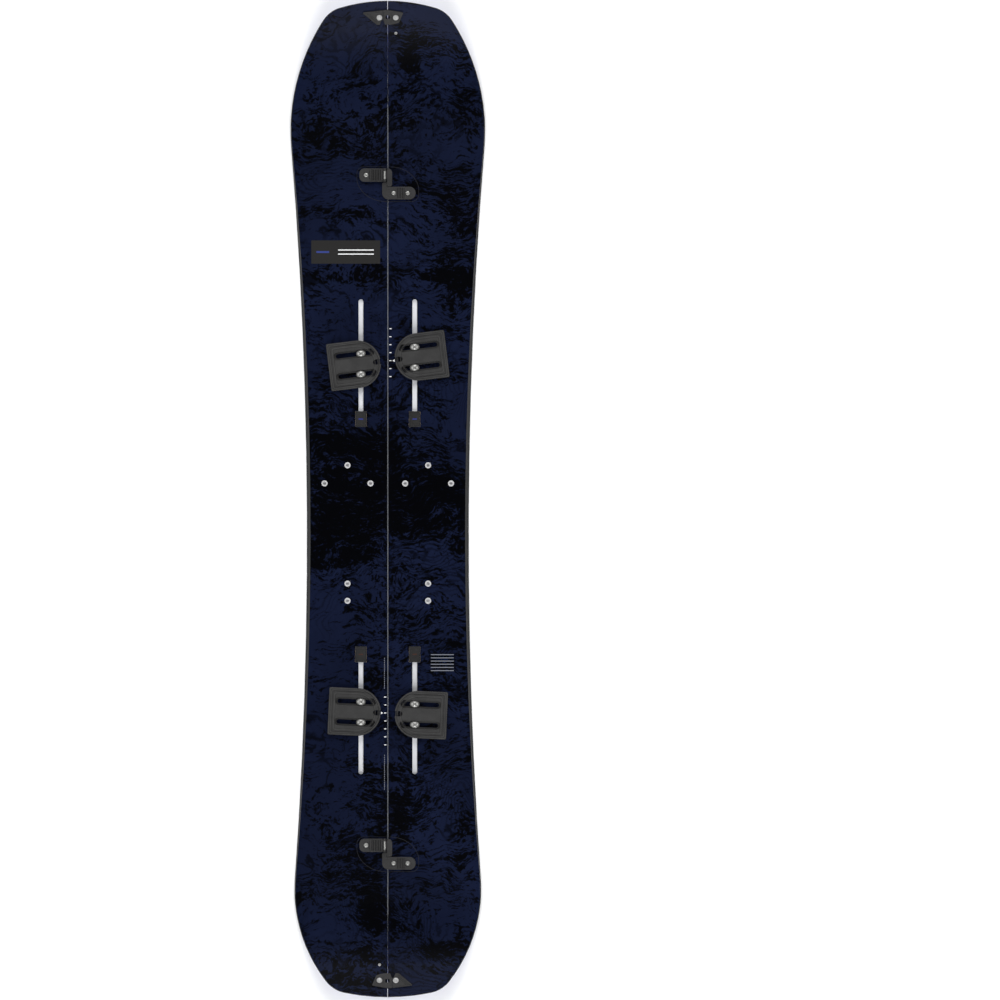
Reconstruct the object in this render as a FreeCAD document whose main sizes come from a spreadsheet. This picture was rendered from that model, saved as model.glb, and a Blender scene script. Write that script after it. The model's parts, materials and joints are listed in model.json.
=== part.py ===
import FreeCAD, Part
import math
import os
import Sketcher

# A splitboard: a snowboard cut in two along its length, so that each half is a touring ski.
# Millimetres. The board lies on its base, nose towards +Y, deck up. The origin is on the snow
# plane, under the seam, half way between nose and tail. Left is -X and right is +X.

SIZES = {
    # plan of the board
    "tip_reach": 780.0,
    "waist_half": 126.8,
    "nose_half": 152.6,
    "tail_half": 146.4,
    "nose_line": 577.3,
    "tail_line": -612.0,
    "nose_radius": 314.0,
    "tail_radius": 232.0,
    "nose_corner_radius": 46.0,
    "tail_corner_radius": 48.0,
    "nose_tip_radius": 264.0,
    "tail_tip_radius": 340.0,
    "seam_gap_half": 0.4,
    "deck_inset": 1.4,
    "deck_waist_inset": 5.6,
    "core_inset": 9.0,
    "core_tip_inset": 62.0,
    "inner_wall_width": 6.0,
    "edge_width": 2.0,
    # side profile of the base and of the deck
    "deck_level": 9.5,
    "nose_rise": 45.0,
    "nose_angle": 21.0,
    "nose_bend_radius": 420.0,
    "tail_rise": 36.0,
    "tail_angle": 19.0,
    "tail_bend_radius": 330.0,
    "tip_thickness": 5.5,
    "taper_angle": 0.8,
    "nose_deck_bend_radius": 380.0,
    "tail_deck_bend_radius": 300.0,
    # layers, counted up from the base or down from the deck
    "base_thickness": 1.2,
    "lower_stack": 2.0,
    "topsheet_thickness": 0.5,
    "upper_stack": 1.1,
    "bevel_start": 4.0,
    "wall_step": 0.7,
    "wall_waist_step": 2.0,
    "wall_front": 585.0,
    "wall_back": -620.0,
    # binding channels
    "channel_x": 42.2,
    "channel_width": 17.0,
    "channel_length": 208.0,
    "channel_bottom": 3.2,
    "cavity_floor": 4.2,
    "cavity_roof": 6.8,
    "cavity_width": 12.6,
    "slot_width": 6.6,
    "deck_slot_width": 7.4,
    "slot_end_margin": 4.6,
    "front_channel_y": 214.0,
    "rear_channel_y": -332.0,
    "plug_width": 18.0,
    "plug_length": 25.0,
    "plug_fit": 0.2,
    # binding pucks and their hardware
    "front_stance_y": 217.2,
    "rear_stance_y": -335.8,
    "front_angle": 7.0,
    "rear_angle": -2.5,
    "puck_gap": 0.2,
    "puck_height": 10.0,
    "puck_half_width": 37.2,
    "puck_heel": 50.8,
    "puck_corner": 2.5,
    "puck_arc_centre": 6.0,
    "puck_platform_inset": 6.4,
    "puck_foot_inset": 6.2,
    "puck_flange_bottom": 5.5,
    "puck_flange_top": 8.4,
    "puck_slot_offset": 16.1,
    "puck_slot_width": 7.0,
    "puck_slot_out": 37.5,
    "puck_slot_in": 18.5,
    "recess_width": 12.2,
    "recess_out": 41.0,
    "recess_in": 23.0,
    "recess_floor": 4.2,
    "notch_width": 8.0,
    "notch_centre": 23.2,
    "screw_radius": 3.0,
    "screw_head_radius": 5.5,
    "screw_head_height": 3.0,
    "washer_length": 14.6,
    "washer_width": 11.8,
    "washer_thickness": 1.4,
    "nut_side": 11.8,
    "nut_height": 2.0,
    # touring bracket inserts
    "insert_line_x": 63.2,
    "toe_pair_spacing": 72.0,
    "toe_pair_y": 24.6,
    "toe_front_y": 53.0,
    "heel_front_y": -132.5,
    "heel_back_y": -159.5,
    "insert_radius": 4.7,
    "insert_barrel_radius": 4.0,
    "insert_bore_radius": 2.5,
    "insert_depth": 6.2,
    # joining clips on the seam
    "nose_clip_y": 494.0,
    "tail_clip_y": -557.0,
    "clip_arm_y": 14.1,
    "clip_arm_width": 21.0,
    "clip_reach": 44.6,
    "clip_plate": 2.5,
    "clip_boss": 5.0,
    "clip_pin_x": 4.8,
    "clip_pin_z": 8.1,
    "clip_pin_radius": 1.5,
    "clip_cheek": 2.0,
    "finger_reach": 6.9,
    "finger_face": 1.2,
    "catch_height": 5.5,
    "clip_screw_radius": 2.0,
    "clip_head_radius": 3.7,
    "clip_head_height": 1.8,
    # interlocking plates at nose and tail
    "tip_plate_y": 754.6,
    "tip_plate_height": 3.5,
    "tip_screw_x": 12.8,
    "tip_post_y": 729.6,
    "tip_head_radius": 4.4,
    "tip_barrel_radius": 2.5,
}

Vector = FreeCAD.Vector
Rotation = FreeCAD.Rotation
Placement = FreeCAD.Placement
UP = Vector(0, 0, 1)
FAR = 200.0

doc = FreeCAD.newDocument("Splitboard")
sheet = doc.addObject("Spreadsheet::Sheet", "Sizes")
for row, (word, number) in enumerate(SIZES.items(), start=1):
    sheet.set(f"A{row}", word)
    sheet.set(f"B{row}", str(number))
    sheet.setAlias(f"B{row}", word)
doc.recompute()


def size(word):
    """A driving dimension, read back from the sheet."""
    return float(sheet.get(word))


# ---------------------------------------------------------------- document helpers


def bind(feature, **settings):
    """Set properties: text is an expression on the sheet's words, anything else a plain value."""
    for name, setting in settings.items():
        name = name.replace("__", ".")
        if isinstance(setting, str):
            words = sorted(SIZES, key=len, reverse=True)
            for word in words:
                setting = setting.replace(f"<{word}>", f"Sizes.{word}")
            feature.setExpression(name, setting)
        else:
            setattr(feature, name, setting)
    return feature


def arc(centre, start, end):
    """The shorter arc from start to end about a centre."""
    middle = (Vector(*start) + Vector(*end)) * 0.5 - Vector(*centre)
    radius = (Vector(*start) - Vector(*centre)).Length
    return Part.Arc(Vector(*start), Vector(*centre) + middle.normalize() * radius, Vector(*end))


def line(start, end):
    return Part.LineSegment(Vector(*start), Vector(*end))


def polygon(points):
    """Straight segments round a closed list of points."""
    return [line(start, end) for start, end in zip(points, points[1:] + points[:1])]


def rectangle(left, right, near, far):
    return polygon([(left, near), (right, near), (right, far), (left, far)])


def stadium(left, right, middle, width):
    """A slot outline lying along X, round at both ends."""
    radius = width / 2
    low, high = middle - radius, middle + radius
    start, end = left + radius, right - radius
    return [
        line((start, low), (end, low)),
        Part.Arc(Vector(end, low), Vector(right, middle), Vector(end, high)),
        line((end, high), (start, high)),
        Part.Arc(Vector(start, high), Vector(left, middle), Vector(start, low)),
    ]


def circle(centre_x, centre_y, radius):
    return [Part.Circle(Vector(centre_x, centre_y), UP, radius)]


def rounded(points, radii):
    """A polygon with its corners rounded, one radius for each point, 0 for a sharp corner."""
    starts, ends, arcs = [], [], []
    count = len(points)
    for index, (point, radius) in enumerate(zip(points, radii)):
        corner = Vector(*point)
        before = (Vector(*points[index - 1]) - corner).normalize()
        after = (Vector(*points[(index + 1) % count]) - corner).normalize()
        half_turn = before.getAngle(after) / 2
        reach = radius / math.tan(half_turn) if radius else 0.0
        starts.append(corner + before * reach)
        ends.append(corner + after * reach)
        inward = (before + after).normalize()
        middle = corner + inward * (radius / math.sin(half_turn) - radius)
        arcs.append(Part.Arc(starts[-1], middle, ends[-1]) if radius else None)
    outline = []
    for index in range(count):
        if arcs[index]:
            outline.append(arcs[index])
        following = (index + 1) % count
        outline.append(Part.LineSegment(ends[index], starts[following]))
    return outline


def fill_sketch(sketch, loops):
    """Add closed loops of curves, joined end to end, with every radius held."""
    for loop in loops:
        first = sketch.GeometryCount
        sketch.addGeometry(loop, False)
        if len(loop) == 1:
            sketch.addConstraint(Sketcher.Constraint("Radius", first, loop[0].Radius))
            continue
        rules = []
        for step in range(len(loop)):
            here = first + step
            after = first + (step + 1) % len(loop)
            pair = min(
                ((a, b) for a in (1, 2) for b in (1, 2)),
                key=lambda ends: sketch.getPoint(here, ends[0]).distanceToPoint(
                    sketch.getPoint(after, ends[1])),
            )
            rules.append(Sketcher.Constraint("Coincident", here, pair[0], after, pair[1]))
        sketch.addConstraint(rules)
    return sketch


def free_sketch(name, loops, placement=None):
    """A sketch that stands alone, for Part extrusions."""
    sketch = doc.addObject("Sketcher::SketchObject", name)
    if placement:
        sketch.Placement = placement
    return fill_sketch(sketch, loops)


def extrusion(name, sketch, direction, forward, backward=0.0):
    feature = doc.addObject("Part::Extrusion", name)
    feature.Base = sketch
    feature.DirMode = "Custom"
    feature.Dir = direction
    feature.Solid = True
    return bind(feature, LengthFwd=forward, LengthRev=backward)


def common(name, *shapes):
    feature = doc.addObject("Part::MultiCommon", name)
    feature.Shapes = list(shapes)
    return feature


def fuse(name, *shapes):
    feature = doc.addObject("Part::MultiFuse", name)
    feature.Shapes = list(shapes)
    return feature


def cut(name, base, tool):
    feature = doc.addObject("Part::Cut", name)
    feature.Base = base
    feature.Tool = tool
    return feature


def group(name, solids):
    """Separate solids of like pieces kept in one node."""
    feature = doc.addObject("Part::Compound", name)
    feature.Links = list(solids)
    return feature


def mirrored(name, source):
    """The left-hand twin of a right-hand feature."""
    feature = doc.addObject("Part::Mirroring", name)
    feature.Source = source
    feature.Normal = Vector(1, 0, 0)
    return feature


def box(name, length, width, height, x, y, z):
    """A block centred on x and y that stands on z."""
    feature = doc.addObject("Part::Box", name)
    bind(feature, Length=length, Width=width, Height=height)
    feature.Placement.Base = Vector(0, 0, z)
    feature.setExpression("Placement.Base.x", f"{x} mm - Length / 2")
    feature.setExpression("Placement.Base.y", f"{y} mm - Width / 2")
    return feature


def cylinder(name, radius, height, placement):
    feature = doc.addObject("Part::Cylinder", name)
    bind(feature, Radius=radius, Height=height)
    feature.Placement = placement
    return feature


def at(x, y, z, turn=0.0):
    return Placement(Vector(x, y, z), Rotation(UP, turn))


class Maker:
    """A PartDesign body made of pads and pockets on its own origin planes."""

    def __init__(self, name, placement=None):
        self.body = doc.addObject("PartDesign::Body", name)
        if placement:
            self.body.Placement = placement

    def plane(self, role):
        return next(p for p in self.body.Origin.OriginFeatures if p.Role == role)

    def sketch(self, loops, level, role="XY_Plane"):
        sketch = self.body.newObject("Sketcher::SketchObject", "Profile")
        sketch.AttachmentSupport = (self.plane(role), [""])
        sketch.MapMode = "FlatFace"
        sketch.AttachmentOffset = Placement(Vector(0, 0, level), Rotation())
        return fill_sketch(sketch, loops)

    def pad(self, loops, bottom, length, role="XY_Plane"):
        sketch = self.sketch(loops, bottom, role)
        feature = self.body.newObject("PartDesign::Pad", "Pad")
        feature.Profile = sketch
        bind(feature, Length=length)
        return feature

    def pocket(self, loops, top, depth, role="XY_Plane"):
        sketch = self.sketch(loops, top, role)
        feature = self.body.newObject("PartDesign::Pocket", "Pocket")
        feature.Profile = sketch
        bind(feature, Length=depth)
        return feature

    def repeat(self, feature, role, length, count):
        """Repeat a pad or pocket along an origin axis."""
        pattern = self.body.newObject("PartDesign::LinearPattern", "Repeat")
        pattern.Originals = [feature]
        pattern.Direction = (self.plane(role), [""])
        pattern.Length = length
        pattern.Occurrences = count
        self.body.Tip = pattern
        return pattern

    def turned(self, outline):
        """Revolve a half section, drawn as radius and height, about the body's Z axis."""
        sketch = self.sketch([outline], 0.0, "XZ_Plane")
        feature = self.body.newObject("PartDesign::Revolution", "Turned")
        feature.Profile = sketch
        feature.ReferenceAxis = (sketch, ["V_Axis"])
        feature.Angle = 360.0
        return feature


NODES = {}


def keep(name, feature):
    """Give a finished sub-part its label, which names its file."""
    feature.Label = name
    NODES[name] = feature
    return feature


# ---------------------------------------------------------------- plan of one half


def corner_between(side_centre, side_radius, tip_centre, tip_radius, corner_radius):
    """The centre of the corner arc that touches both the side arc and the tip arc from inside."""
    gap = Vector(*tip_centre) - Vector(*side_centre)
    from_side = side_radius - corner_radius
    from_tip = tip_radius - corner_radius
    along = (from_side ** 2 - from_tip ** 2 + gap.Length ** 2) / (2 * gap.Length)
    across = math.sqrt(from_side ** 2 - along ** 2)
    unit = Vector(gap).normalize()
    square = Vector(-unit.y, unit.x, 0)
    foot = Vector(*side_centre) + unit * along
    options = (foot + square * across, foot - square * across)
    return max(options, key=lambda point: point.x)


def touching_point(centre, radius, inner_centre):
    """Where an arc meets a smaller arc that lies inside it."""
    away = Vector(*inner_centre) - Vector(*centre)
    point = Vector(*centre) + away.normalize() * radius
    return (point.x, point.y)


def sidecut(waist, nose, tail, nose_radius, tail_radius):
    """Radius and waist position of the hollow arc that touches the nose and the tail arcs."""
    span = size("nose_line") - size("tail_line")

    def runs(radius):
        ahead = math.sqrt(2 * (nose - waist) * (radius + nose_radius) - (nose - waist) ** 2)
        behind = math.sqrt(2 * (tail - waist) * (radius + tail_radius) - (tail - waist) ** 2)
        return ahead, behind

    low, high = 1000.0, 50000.0
    for _ in range(60):
        radius = (low + high) / 2
        if sum(runs(radius)) < span:
            low = radius
        else:
            high = radius
    return radius, size("nose_line") - runs(radius)[0]


def half_plan(inset=0.0, waist_inset=None, tip_inset=None, seam=None):
    """Named points and arc centres of the right half's outline, drawn in by the insets."""
    tip_inset = inset if tip_inset is None else tip_inset
    waist = size("waist_half") - (inset if waist_inset is None else waist_inset)
    plan = {"seam": size("seam_gap_half") if seam is None else seam}
    halves = {end: size(f"{end}_half") - inset for end in ("nose", "tail")}
    radii = {end: size(f"{end}_radius") - inset for end in ("nose", "tail")}
    cut_radius, waist_y = sidecut(
        waist, halves["nose"], halves["tail"], radii["nose"], radii["tail"])
    plan["cut_centre"] = (waist + cut_radius, waist_y)
    plan["waist"] = (waist, waist_y)
    for end, way in (("nose", 1), ("tail", -1)):
        side = (halves[end] - radii[end], size(f"{end}_line"))
        tip_radius = size(f"{end}_tip_radius") - inset
        tip = (0.0, way * (size("tip_reach") - tip_inset - tip_radius))
        corner_radius = size(f"{end}_corner_radius") - inset
        corner = corner_between(side, radii[end], tip, tip_radius, corner_radius)
        corner = (corner.x, corner.y)
        plan[end + "_side_centre"] = side
        plan[end + "_corner_centre"] = corner
        plan[end + "_tip_centre"] = tip
        plan[end + "_side"] = touching_point(side, radii[end], plan["cut_centre"])
        plan[end + "_corner_start"] = touching_point(side, radii[end], corner)
        plan[end + "_corner_end"] = touching_point(tip, tip_radius, corner)
        rise = math.sqrt(tip_radius ** 2 - plan["seam"] ** 2)
        plan[end + "_seam"] = (plan["seam"], tip[1] + way * rise)
    return plan


def plan_loop(plan):
    """The closed outline: tail tip, tail corner, tail side, sidecut, nose side, corner, tip, seam."""
    return [
        arc(plan["tail_tip_centre"], plan["tail_seam"], plan["tail_corner_end"]),
        arc(plan["tail_corner_centre"], plan["tail_corner_end"], plan["tail_corner_start"]),
        arc(plan["tail_side_centre"], plan["tail_corner_start"], plan["tail_side"]),
        arc(plan["cut_centre"], plan["tail_side"], plan["nose_side"]),
        arc(plan["nose_side_centre"], plan["nose_side"], plan["nose_corner_start"]),
        arc(plan["nose_corner_centre"], plan["nose_corner_start"], plan["nose_corner_end"]),
        arc(plan["nose_tip_centre"], plan["nose_corner_end"], plan["nose_seam"]),
        line(plan["nose_seam"], plan["tail_seam"]),
    ]


def plan_prism(name, **insets):
    sketch = free_sketch(name + "_plan", [plan_loop(half_plan(**insets))], at(0, 0, -FAR / 10))
    return extrusion(name, sketch, UP, FAR)


def wall_loop(plan, seam):
    """The outline between the two ends of the sidewalls, closed by straight lines at the seam."""

    def side_point(end, limit):
        centre = plan[end + "_side_centre"]
        radius = Vector(*plan[end + "_side"]).distanceToPoint(Vector(*centre))
        return (centre[0] + math.sqrt(radius ** 2 - (limit - centre[1]) ** 2), limit)

    front = side_point("nose", size("wall_front"))
    back = side_point("tail", size("wall_back"))
    return [
        line((seam, back[1]), back),
        arc(plan["tail_side_centre"], back, plan["tail_side"]),
        arc(plan["cut_centre"], plan["tail_side"], plan["nose_side"]),
        arc(plan["nose_side_centre"], plan["nose_side"], front),
        line(front, (seam, front[1])),
        line((seam, front[1]), (seam, back[1])),
    ]


# ---------------------------------------------------------------- side profile


def bend(level, tip_height, angle, radius, offset, way):
    """One kicked end of a profile curve: the bend's centre, start and end, and a point past the tip.

    The curve is level, bends up on an arc and runs straight past the tip. A positive offset
    moves the whole curve up, square to itself.
    """
    slope = math.radians(angle)
    crossing = size("tip_reach") - (tip_height - level) / math.tan(slope)
    start = crossing - radius * math.tan(slope / 2)
    centre = (start, level + radius)
    moved = radius - offset
    end = (start + moved * math.sin(slope), centre[1] - moved * math.cos(slope))
    beyond = size("tip_reach") + FAR / 8
    past = (beyond, end[1] + (beyond - end[0]) * math.tan(slope))
    points = [centre, (start, level + offset), end, past]
    return [(way * along, up) for along, up in points]


def profile_curve(surface, offset):
    """The base or the deck as a chain of segments from tail to nose, with its two end points."""
    lift = 0.0 if surface == "base" else size("deck_level")
    ends = {}
    for end, way in (("nose", 1), ("tail", -1)):
        height = size(f"{end}_rise")
        angle = size(f"{end}_angle")
        radius = size(f"{end}_bend_radius")
        if surface == "deck":
            height += size("tip_thickness") / math.cos(math.radians(angle))
            angle -= size("taper_angle")
            radius = size(f"{end}_deck_bend_radius")
        ends[end] = bend(lift, height, angle, radius, offset, way)
    tail_centre, tail_start, tail_end, tail_past = ends["tail"]
    nose_centre, nose_start, nose_end, nose_past = ends["nose"]
    chain = [
        line(tail_past, tail_end),
        arc(tail_centre, tail_end, tail_start),
        line(tail_start, nose_start),
        arc(nose_centre, nose_start, nose_end),
        line(nose_end, nose_past),
    ]
    return chain, tail_past, nose_past


ACROSS = Placement(Vector(), Rotation(Vector(1, 1, 1), 120))


def layer_slab(name, lower, upper):
    """A slab that follows the profile, from one offset curve up to another, across one half."""
    low_chain, low_tail, low_nose = profile_curve(*lower)
    high_chain, high_tail, high_nose = profile_curve(*upper)
    loop = low_chain + [line(low_nose, high_nose)] + high_chain[::-1] + [line(high_tail, low_tail)]
    sketch = free_sketch(name + "_profile", [loop], ACROSS)
    return extrusion(name, sketch, Vector(1, 0, 0), FAR)


def deck_height(distance):
    """Height of the deck's straight tip at a distance from the middle, nose or tail."""
    end = "nose" if distance > 0 else "tail"
    angle = size(f"{end}_angle")
    tip = size(f"{end}_rise") + size("tip_thickness") / math.cos(math.radians(angle))
    slope = math.radians(angle - size("taper_angle"))
    return tip - (size("tip_reach") - abs(distance)) * math.tan(slope)


def tip_frame(end, distance=None):
    """A frame on the deck's straight tip: Y climbs to the tip and Z is square to the deck."""
    way = 1 if end == "nose" else -1
    distance = size("tip_plate_y") if distance is None else distance
    tilt = Rotation(Vector(1, 0, 0), size(f"{end}_angle") - size("taper_angle"))
    turn = Rotation(UP, 0 if way > 0 else 180)
    return Placement(Vector(0, way * distance, deck_height(way * distance)), turn * tilt)


# ---------------------------------------------------------------- where the hardware stands


CHANNELS = {"front": size("front_channel_y"), "rear": size("rear_channel_y")}
INWARD = {"front": -1, "rear": 1}


def insert_points():
    """Plan positions, in the right half, of the touring bracket inserts."""
    middle = size("insert_line_x")
    side = size("toe_pair_spacing") / 2
    return [
        (middle - side, size("toe_pair_y")),
        (middle + side, size("toe_pair_y")),
        (middle, size("toe_front_y")),
        (middle, size("heel_front_y")),
        (middle, size("heel_back_y")),
    ]


BASE_SCREWS_X = (34.0, 17.0)
CATCH_SCREWS_X = (9.2, 31.3)
CLIP_INSERT_RADIUS = 3.5


def clip_points(side):
    """Plan positions of the clip screws in one half, each with the height of its head's seat."""
    points = []
    for clip_y in (size("nose_clip_y"), size("tail_clip_y")):
        if side == "left":
            boss_seat = size("clip_boss") - 2.2
            plate_seat = size("clip_plate") - 1.9
            points.append((-BASE_SCREWS_X[0], clip_y + size("clip_arm_y"), boss_seat))
            points.append((-BASE_SCREWS_X[1], clip_y + size("clip_arm_y"), plate_seat))
        else:
            seat = size("catch_height") - 2.5
            points += [(x, clip_y - size("clip_arm_y"), seat) for x in CATCH_SCREWS_X]
    return points


def tip_points(side):
    """Frames of one half's tip screws: two under the tip plates, one plain post."""
    way = 1 if side == "right" else -1
    frames = []
    for end in ("nose", "tail"):
        local = way if end == "nose" else -way
        frames.append((tip_frame(end), local * size("tip_screw_x"), False))
    post_end = "nose" if side == "right" else "tail"
    frames.append((tip_frame(post_end, size("tip_post_y")), size("tip_screw_x"), True))
    return frames


def moved(frame, x, z):
    """A frame shifted in its own X and Z."""
    return Placement(frame.Base + frame.Rotation.multVec(Vector(x, 0, z)), frame.Rotation)


# ---------------------------------------------------------------- openings cut in the layers


def tip_drills(side):
    return [
        cylinder("Tip_drill", "<tip_barrel_radius>", FAR / 5, moved(frame, x, -FAR / 10))
        for frame, x, _ in tip_points(side)
    ]


def deck_slots(side, bottom, slot):
    """The channel slots and plug pockets, as cut through the deck's skins."""
    way = 1 if side == "right" else -1
    tools = []
    for end, middle in CHANNELS.items():
        inward = INWARD[end]
        plug_edge = middle + inward * (size("channel_length") / 2 - 3.0)
        plug_inner = plug_edge - inward * size("plug_length")
        far_end = middle - inward * (size("channel_length") / 2 - size("slot_end_margin"))
        near, far = sorted((plug_inner, far_end))
        slot_maker = free_sketch(
            "Deck_slot_plan",
            [stadium(near - slot if inward < 0 else near, far + slot if inward > 0 else far, 0, slot)],
            Placement(Vector(way * size("channel_x"), 0, bottom), Rotation(UP, 90)),
        )
        tools.append(extrusion("Deck_slot", slot_maker, UP, FAR))
        pocket_y = (plug_edge + plug_inner) / 2
        tools.append(box("Plug_pocket", "<plug_width>", "<plug_length>", FAR,
                         way * size("channel_x"), pocket_y, bottom))
    return tools


def insert_drills(side, radius, bottom):
    way = 1 if side == "right" else -1
    return [
        cylinder("Insert_drill", radius, FAR, at(way * x, y, bottom)) for x, y in insert_points()
    ]


def clip_drills(side, bottom):
    return [
        cylinder("Clip_drill", CLIP_INSERT_RADIUS, FAR, at(x, y, bottom))
        for x, y, _ in clip_points(side)
    ]


def channel_pockets(side):
    way = 1 if side == "right" else -1
    return [
        box("Channel_pocket", "<channel_width>", "<channel_length>", FAR,
            way * size("channel_x"), middle, size("channel_bottom"))
        for middle in CHANNELS.values()
    ]


def drilled(name, blank, tools):
    return keep(name, cut(name, blank, fuse(name + "_openings", *tools)))


# ---------------------------------------------------------------- laminate of both halves


def make_laminate():
    """Edges, base, glass, core, walls, tip spacers and topsheet, right half first, then its twin."""
    lower = size("lower_stack")
    upper = -size("upper_stack")
    sheet_line = -size("topsheet_thickness")
    edge = size("edge_width")
    seam = size("seam_gap_half")
    full = plan_prism("Full_plan")
    inside_edge = plan_prism("Inside_edge_plan", inset=edge)
    base_area = plan_prism("Base_plan", inset=edge, seam=seam + edge)
    deck_area = plan_prism(
        "Deck_plan", inset=size("deck_inset"), waist_inset=size("deck_waist_inset"), seam=seam)
    core_area = plan_prism("Core_plan", inset=size("core_inset"), tip_inset=size("core_tip_inset"),
                           seam=seam + size("inner_wall_width"))

    base_slab = layer_slab("Base_slab", ("base", 0.0), ("base", size("base_thickness")))
    glass_slab = layer_slab("Glass_slab", ("base", size("base_thickness")), ("base", lower))
    edge_slab = layer_slab("Edge_slab", ("base", 0.0), ("base", lower))
    core_slab = layer_slab("Core_slab", ("base", lower), ("deck", upper))
    upper_slab = layer_slab("Upper_glass_slab", ("deck", upper), ("deck", sheet_line))
    deck_slab = layer_slab("Deck_slab", ("deck", sheet_line), ("deck", 0.0))

    right = {
        "base": common("Base_blank", base_area, base_slab),
        "lower_glass": common("Lower_glass_blank", base_area, glass_slab),
        "upper_glass": common("Upper_glass_blank", deck_area, upper_slab),
        "core": common("Core_blank", core_area, core_slab),
        "topsheet": common("Topsheet_blank", deck_area, deck_slab),
        "outer_edge": common("Outer_edge_blank", cut("Edge_ring", full, inside_edge), edge_slab),
        "inner_edge": common(
            "Inner_edge_blank", cut("Seam_strip", inside_edge, base_area), edge_slab),
    }

    rim = cut("Rim", full, core_area)
    wall_length = size("wall_front") - size("wall_back")
    wall_middle = (size("wall_front") + size("wall_back")) / 2
    wall_window = box("Wall_window", 2 * FAR, wall_length, FAR, 0, wall_middle, -FAR / 10)
    right["spacers"] = common("Spacer_blank", cut("Rim_ends", rim, wall_window), core_slab)
    right["walls"] = make_walls(core_area, lower, upper)

    for side in ("right", "left"):
        pieces = right
        if side == "left":
            pieces = {name: mirrored("Left_" + name, piece) for name, piece in right.items()}
        tips = tip_drills(side)
        roof = size("deck_level")
        flange_bottom = roof + upper
        keep(f"{side}_outer_edge", pieces["outer_edge"])
        keep(f"{side}_inner_edge", pieces["inner_edge"])
        drilled(f"{side}_sidewalls", pieces["walls"], clip_drills(side, roof - 6.0))
        drilled(f"{side}_tip_spacers", pieces["spacers"], tips)
        drilled(f"{side}_base", pieces["base"], tips)
        insert_bottom = roof - size("insert_depth")
        inner_tools = channel_pockets(side) + clip_drills(side, roof - 6.0)
        inner_tools += insert_drills(side, "<insert_barrel_radius>", insert_bottom)
        drilled(f"{side}_core", pieces["core"], inner_tools)
        skin_tools = tips + clip_drills(side, 0.0) + deck_slots(side, 0.0, size("deck_slot_width"))
        lower_glass = cut("Lower_glass", pieces["lower_glass"], fuse("Lower_glass_holes", *tips))
        upper_tools = skin_tools + insert_drills(side, "<insert_barrel_radius>", flange_bottom - 1)
        upper_glass = cut("Upper_glass", pieces["upper_glass"], fuse("Upper_holes", *upper_tools))
        keep(f"{side}_glass_layers", group(f"{side}_glass_layers", [lower_glass, upper_glass]))
        deck_tools = skin_tools + insert_drills(side, "<insert_radius>", flange_bottom)
        drilled(f"{side}_topsheet", pieces["topsheet"], deck_tools)


def make_walls(core_area, lower, upper):
    """The outer sidewall, bevelled above the edge, and the straight wall along the seam."""
    seam = size("seam_gap_half")
    inner_line = seam + size("inner_wall_width")
    outside = half_plan(inset=size("wall_step"), waist_inset=size("wall_waist_step"))
    inside = half_plan(inset=size("deck_inset"), waist_inset=size("deck_waist_inset"))
    bevel_start = size("bevel_start")
    top = size("deck_level") + upper
    foot_sketch = free_sketch("Wall_foot", [wall_loop(outside, inner_line)], at(0, 0, lower))
    foot = extrusion("Wall_foot_block", foot_sketch, UP, bevel_start - lower)
    bevel = doc.addObject("Part::Loft", "Wall_bevel")
    bevel.Sections = [
        free_sketch("Bevel_bottom", [wall_loop(outside, inner_line)], at(0, 0, bevel_start)),
        free_sketch("Bevel_top", [wall_loop(inside, inner_line)], at(0, 0, top)),
    ]
    bevel.Solid = True
    bevel.Ruled = True
    outer = cut("Outer_wall", fuse("Wall_block", foot, bevel), core_area)
    length = size("wall_front") - size("wall_back")
    middle = (size("wall_front") + size("wall_back")) / 2
    width = size("inner_wall_width")
    inner = box("Inner_wall", "<inner_wall_width>", length, top - lower,
                seam + width / 2, middle, lower)
    return group("Walls", [outer, inner])


# ---------------------------------------------------------------- channels, plugs and inserts


def make_channels(side):
    """Two rails with a T-shaped slot, let into the core."""
    way = 1 if side == "right" else -1
    height = size("deck_level") - size("upper_stack") - size("channel_bottom")
    rails = []
    for end, middle in CHANNELS.items():
        turn = 0 if INWARD[end] < 0 else 180
        rail = Maker(f"{side}_{end}_channel",
                     at(way * size("channel_x"), middle, size("channel_bottom"), turn))
        half_width = size("channel_width") / 2
        half_length = size("channel_length") / 2
        rail.pad([rectangle(-half_width, half_width, -half_length, half_length)], 0.0, height)
        cavity_half = size("cavity_width") / 2
        plug_edge = -half_length + 3.0
        roof = size("cavity_roof") - size("channel_bottom")
        floor = size("cavity_floor") - size("channel_bottom")
        rail.pocket([rectangle(-cavity_half, cavity_half, plug_edge, plug_edge + size("plug_length"))],
                    height, height - floor)
        slot_half = size("slot_width") / 2
        slot_end = half_length - size("slot_end_margin") - 0.4
        tip = slot_end - slot_half
        slot = [
            line((-slot_half, plug_edge + 5.0), (slot_half, plug_edge + 5.0)),
            line((slot_half, plug_edge + 5.0), (slot_half, tip)),
            Part.Arc(Vector(slot_half, tip), Vector(0, slot_end), Vector(-slot_half, tip)),
            line((-slot_half, tip), (-slot_half, plug_edge + 5.0)),
        ]
        rail.pocket([slot], height, height - floor)
        tunnel_end = half_length - 1.2
        tunnel = rectangle(-cavity_half, cavity_half, plug_edge + 1.0, tunnel_end)
        rail.pocket([tunnel], roof, roof - floor)
        rails.append(rail.body)
    keep(f"{side}_channels", group(f"{side}_channels", rails))


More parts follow.
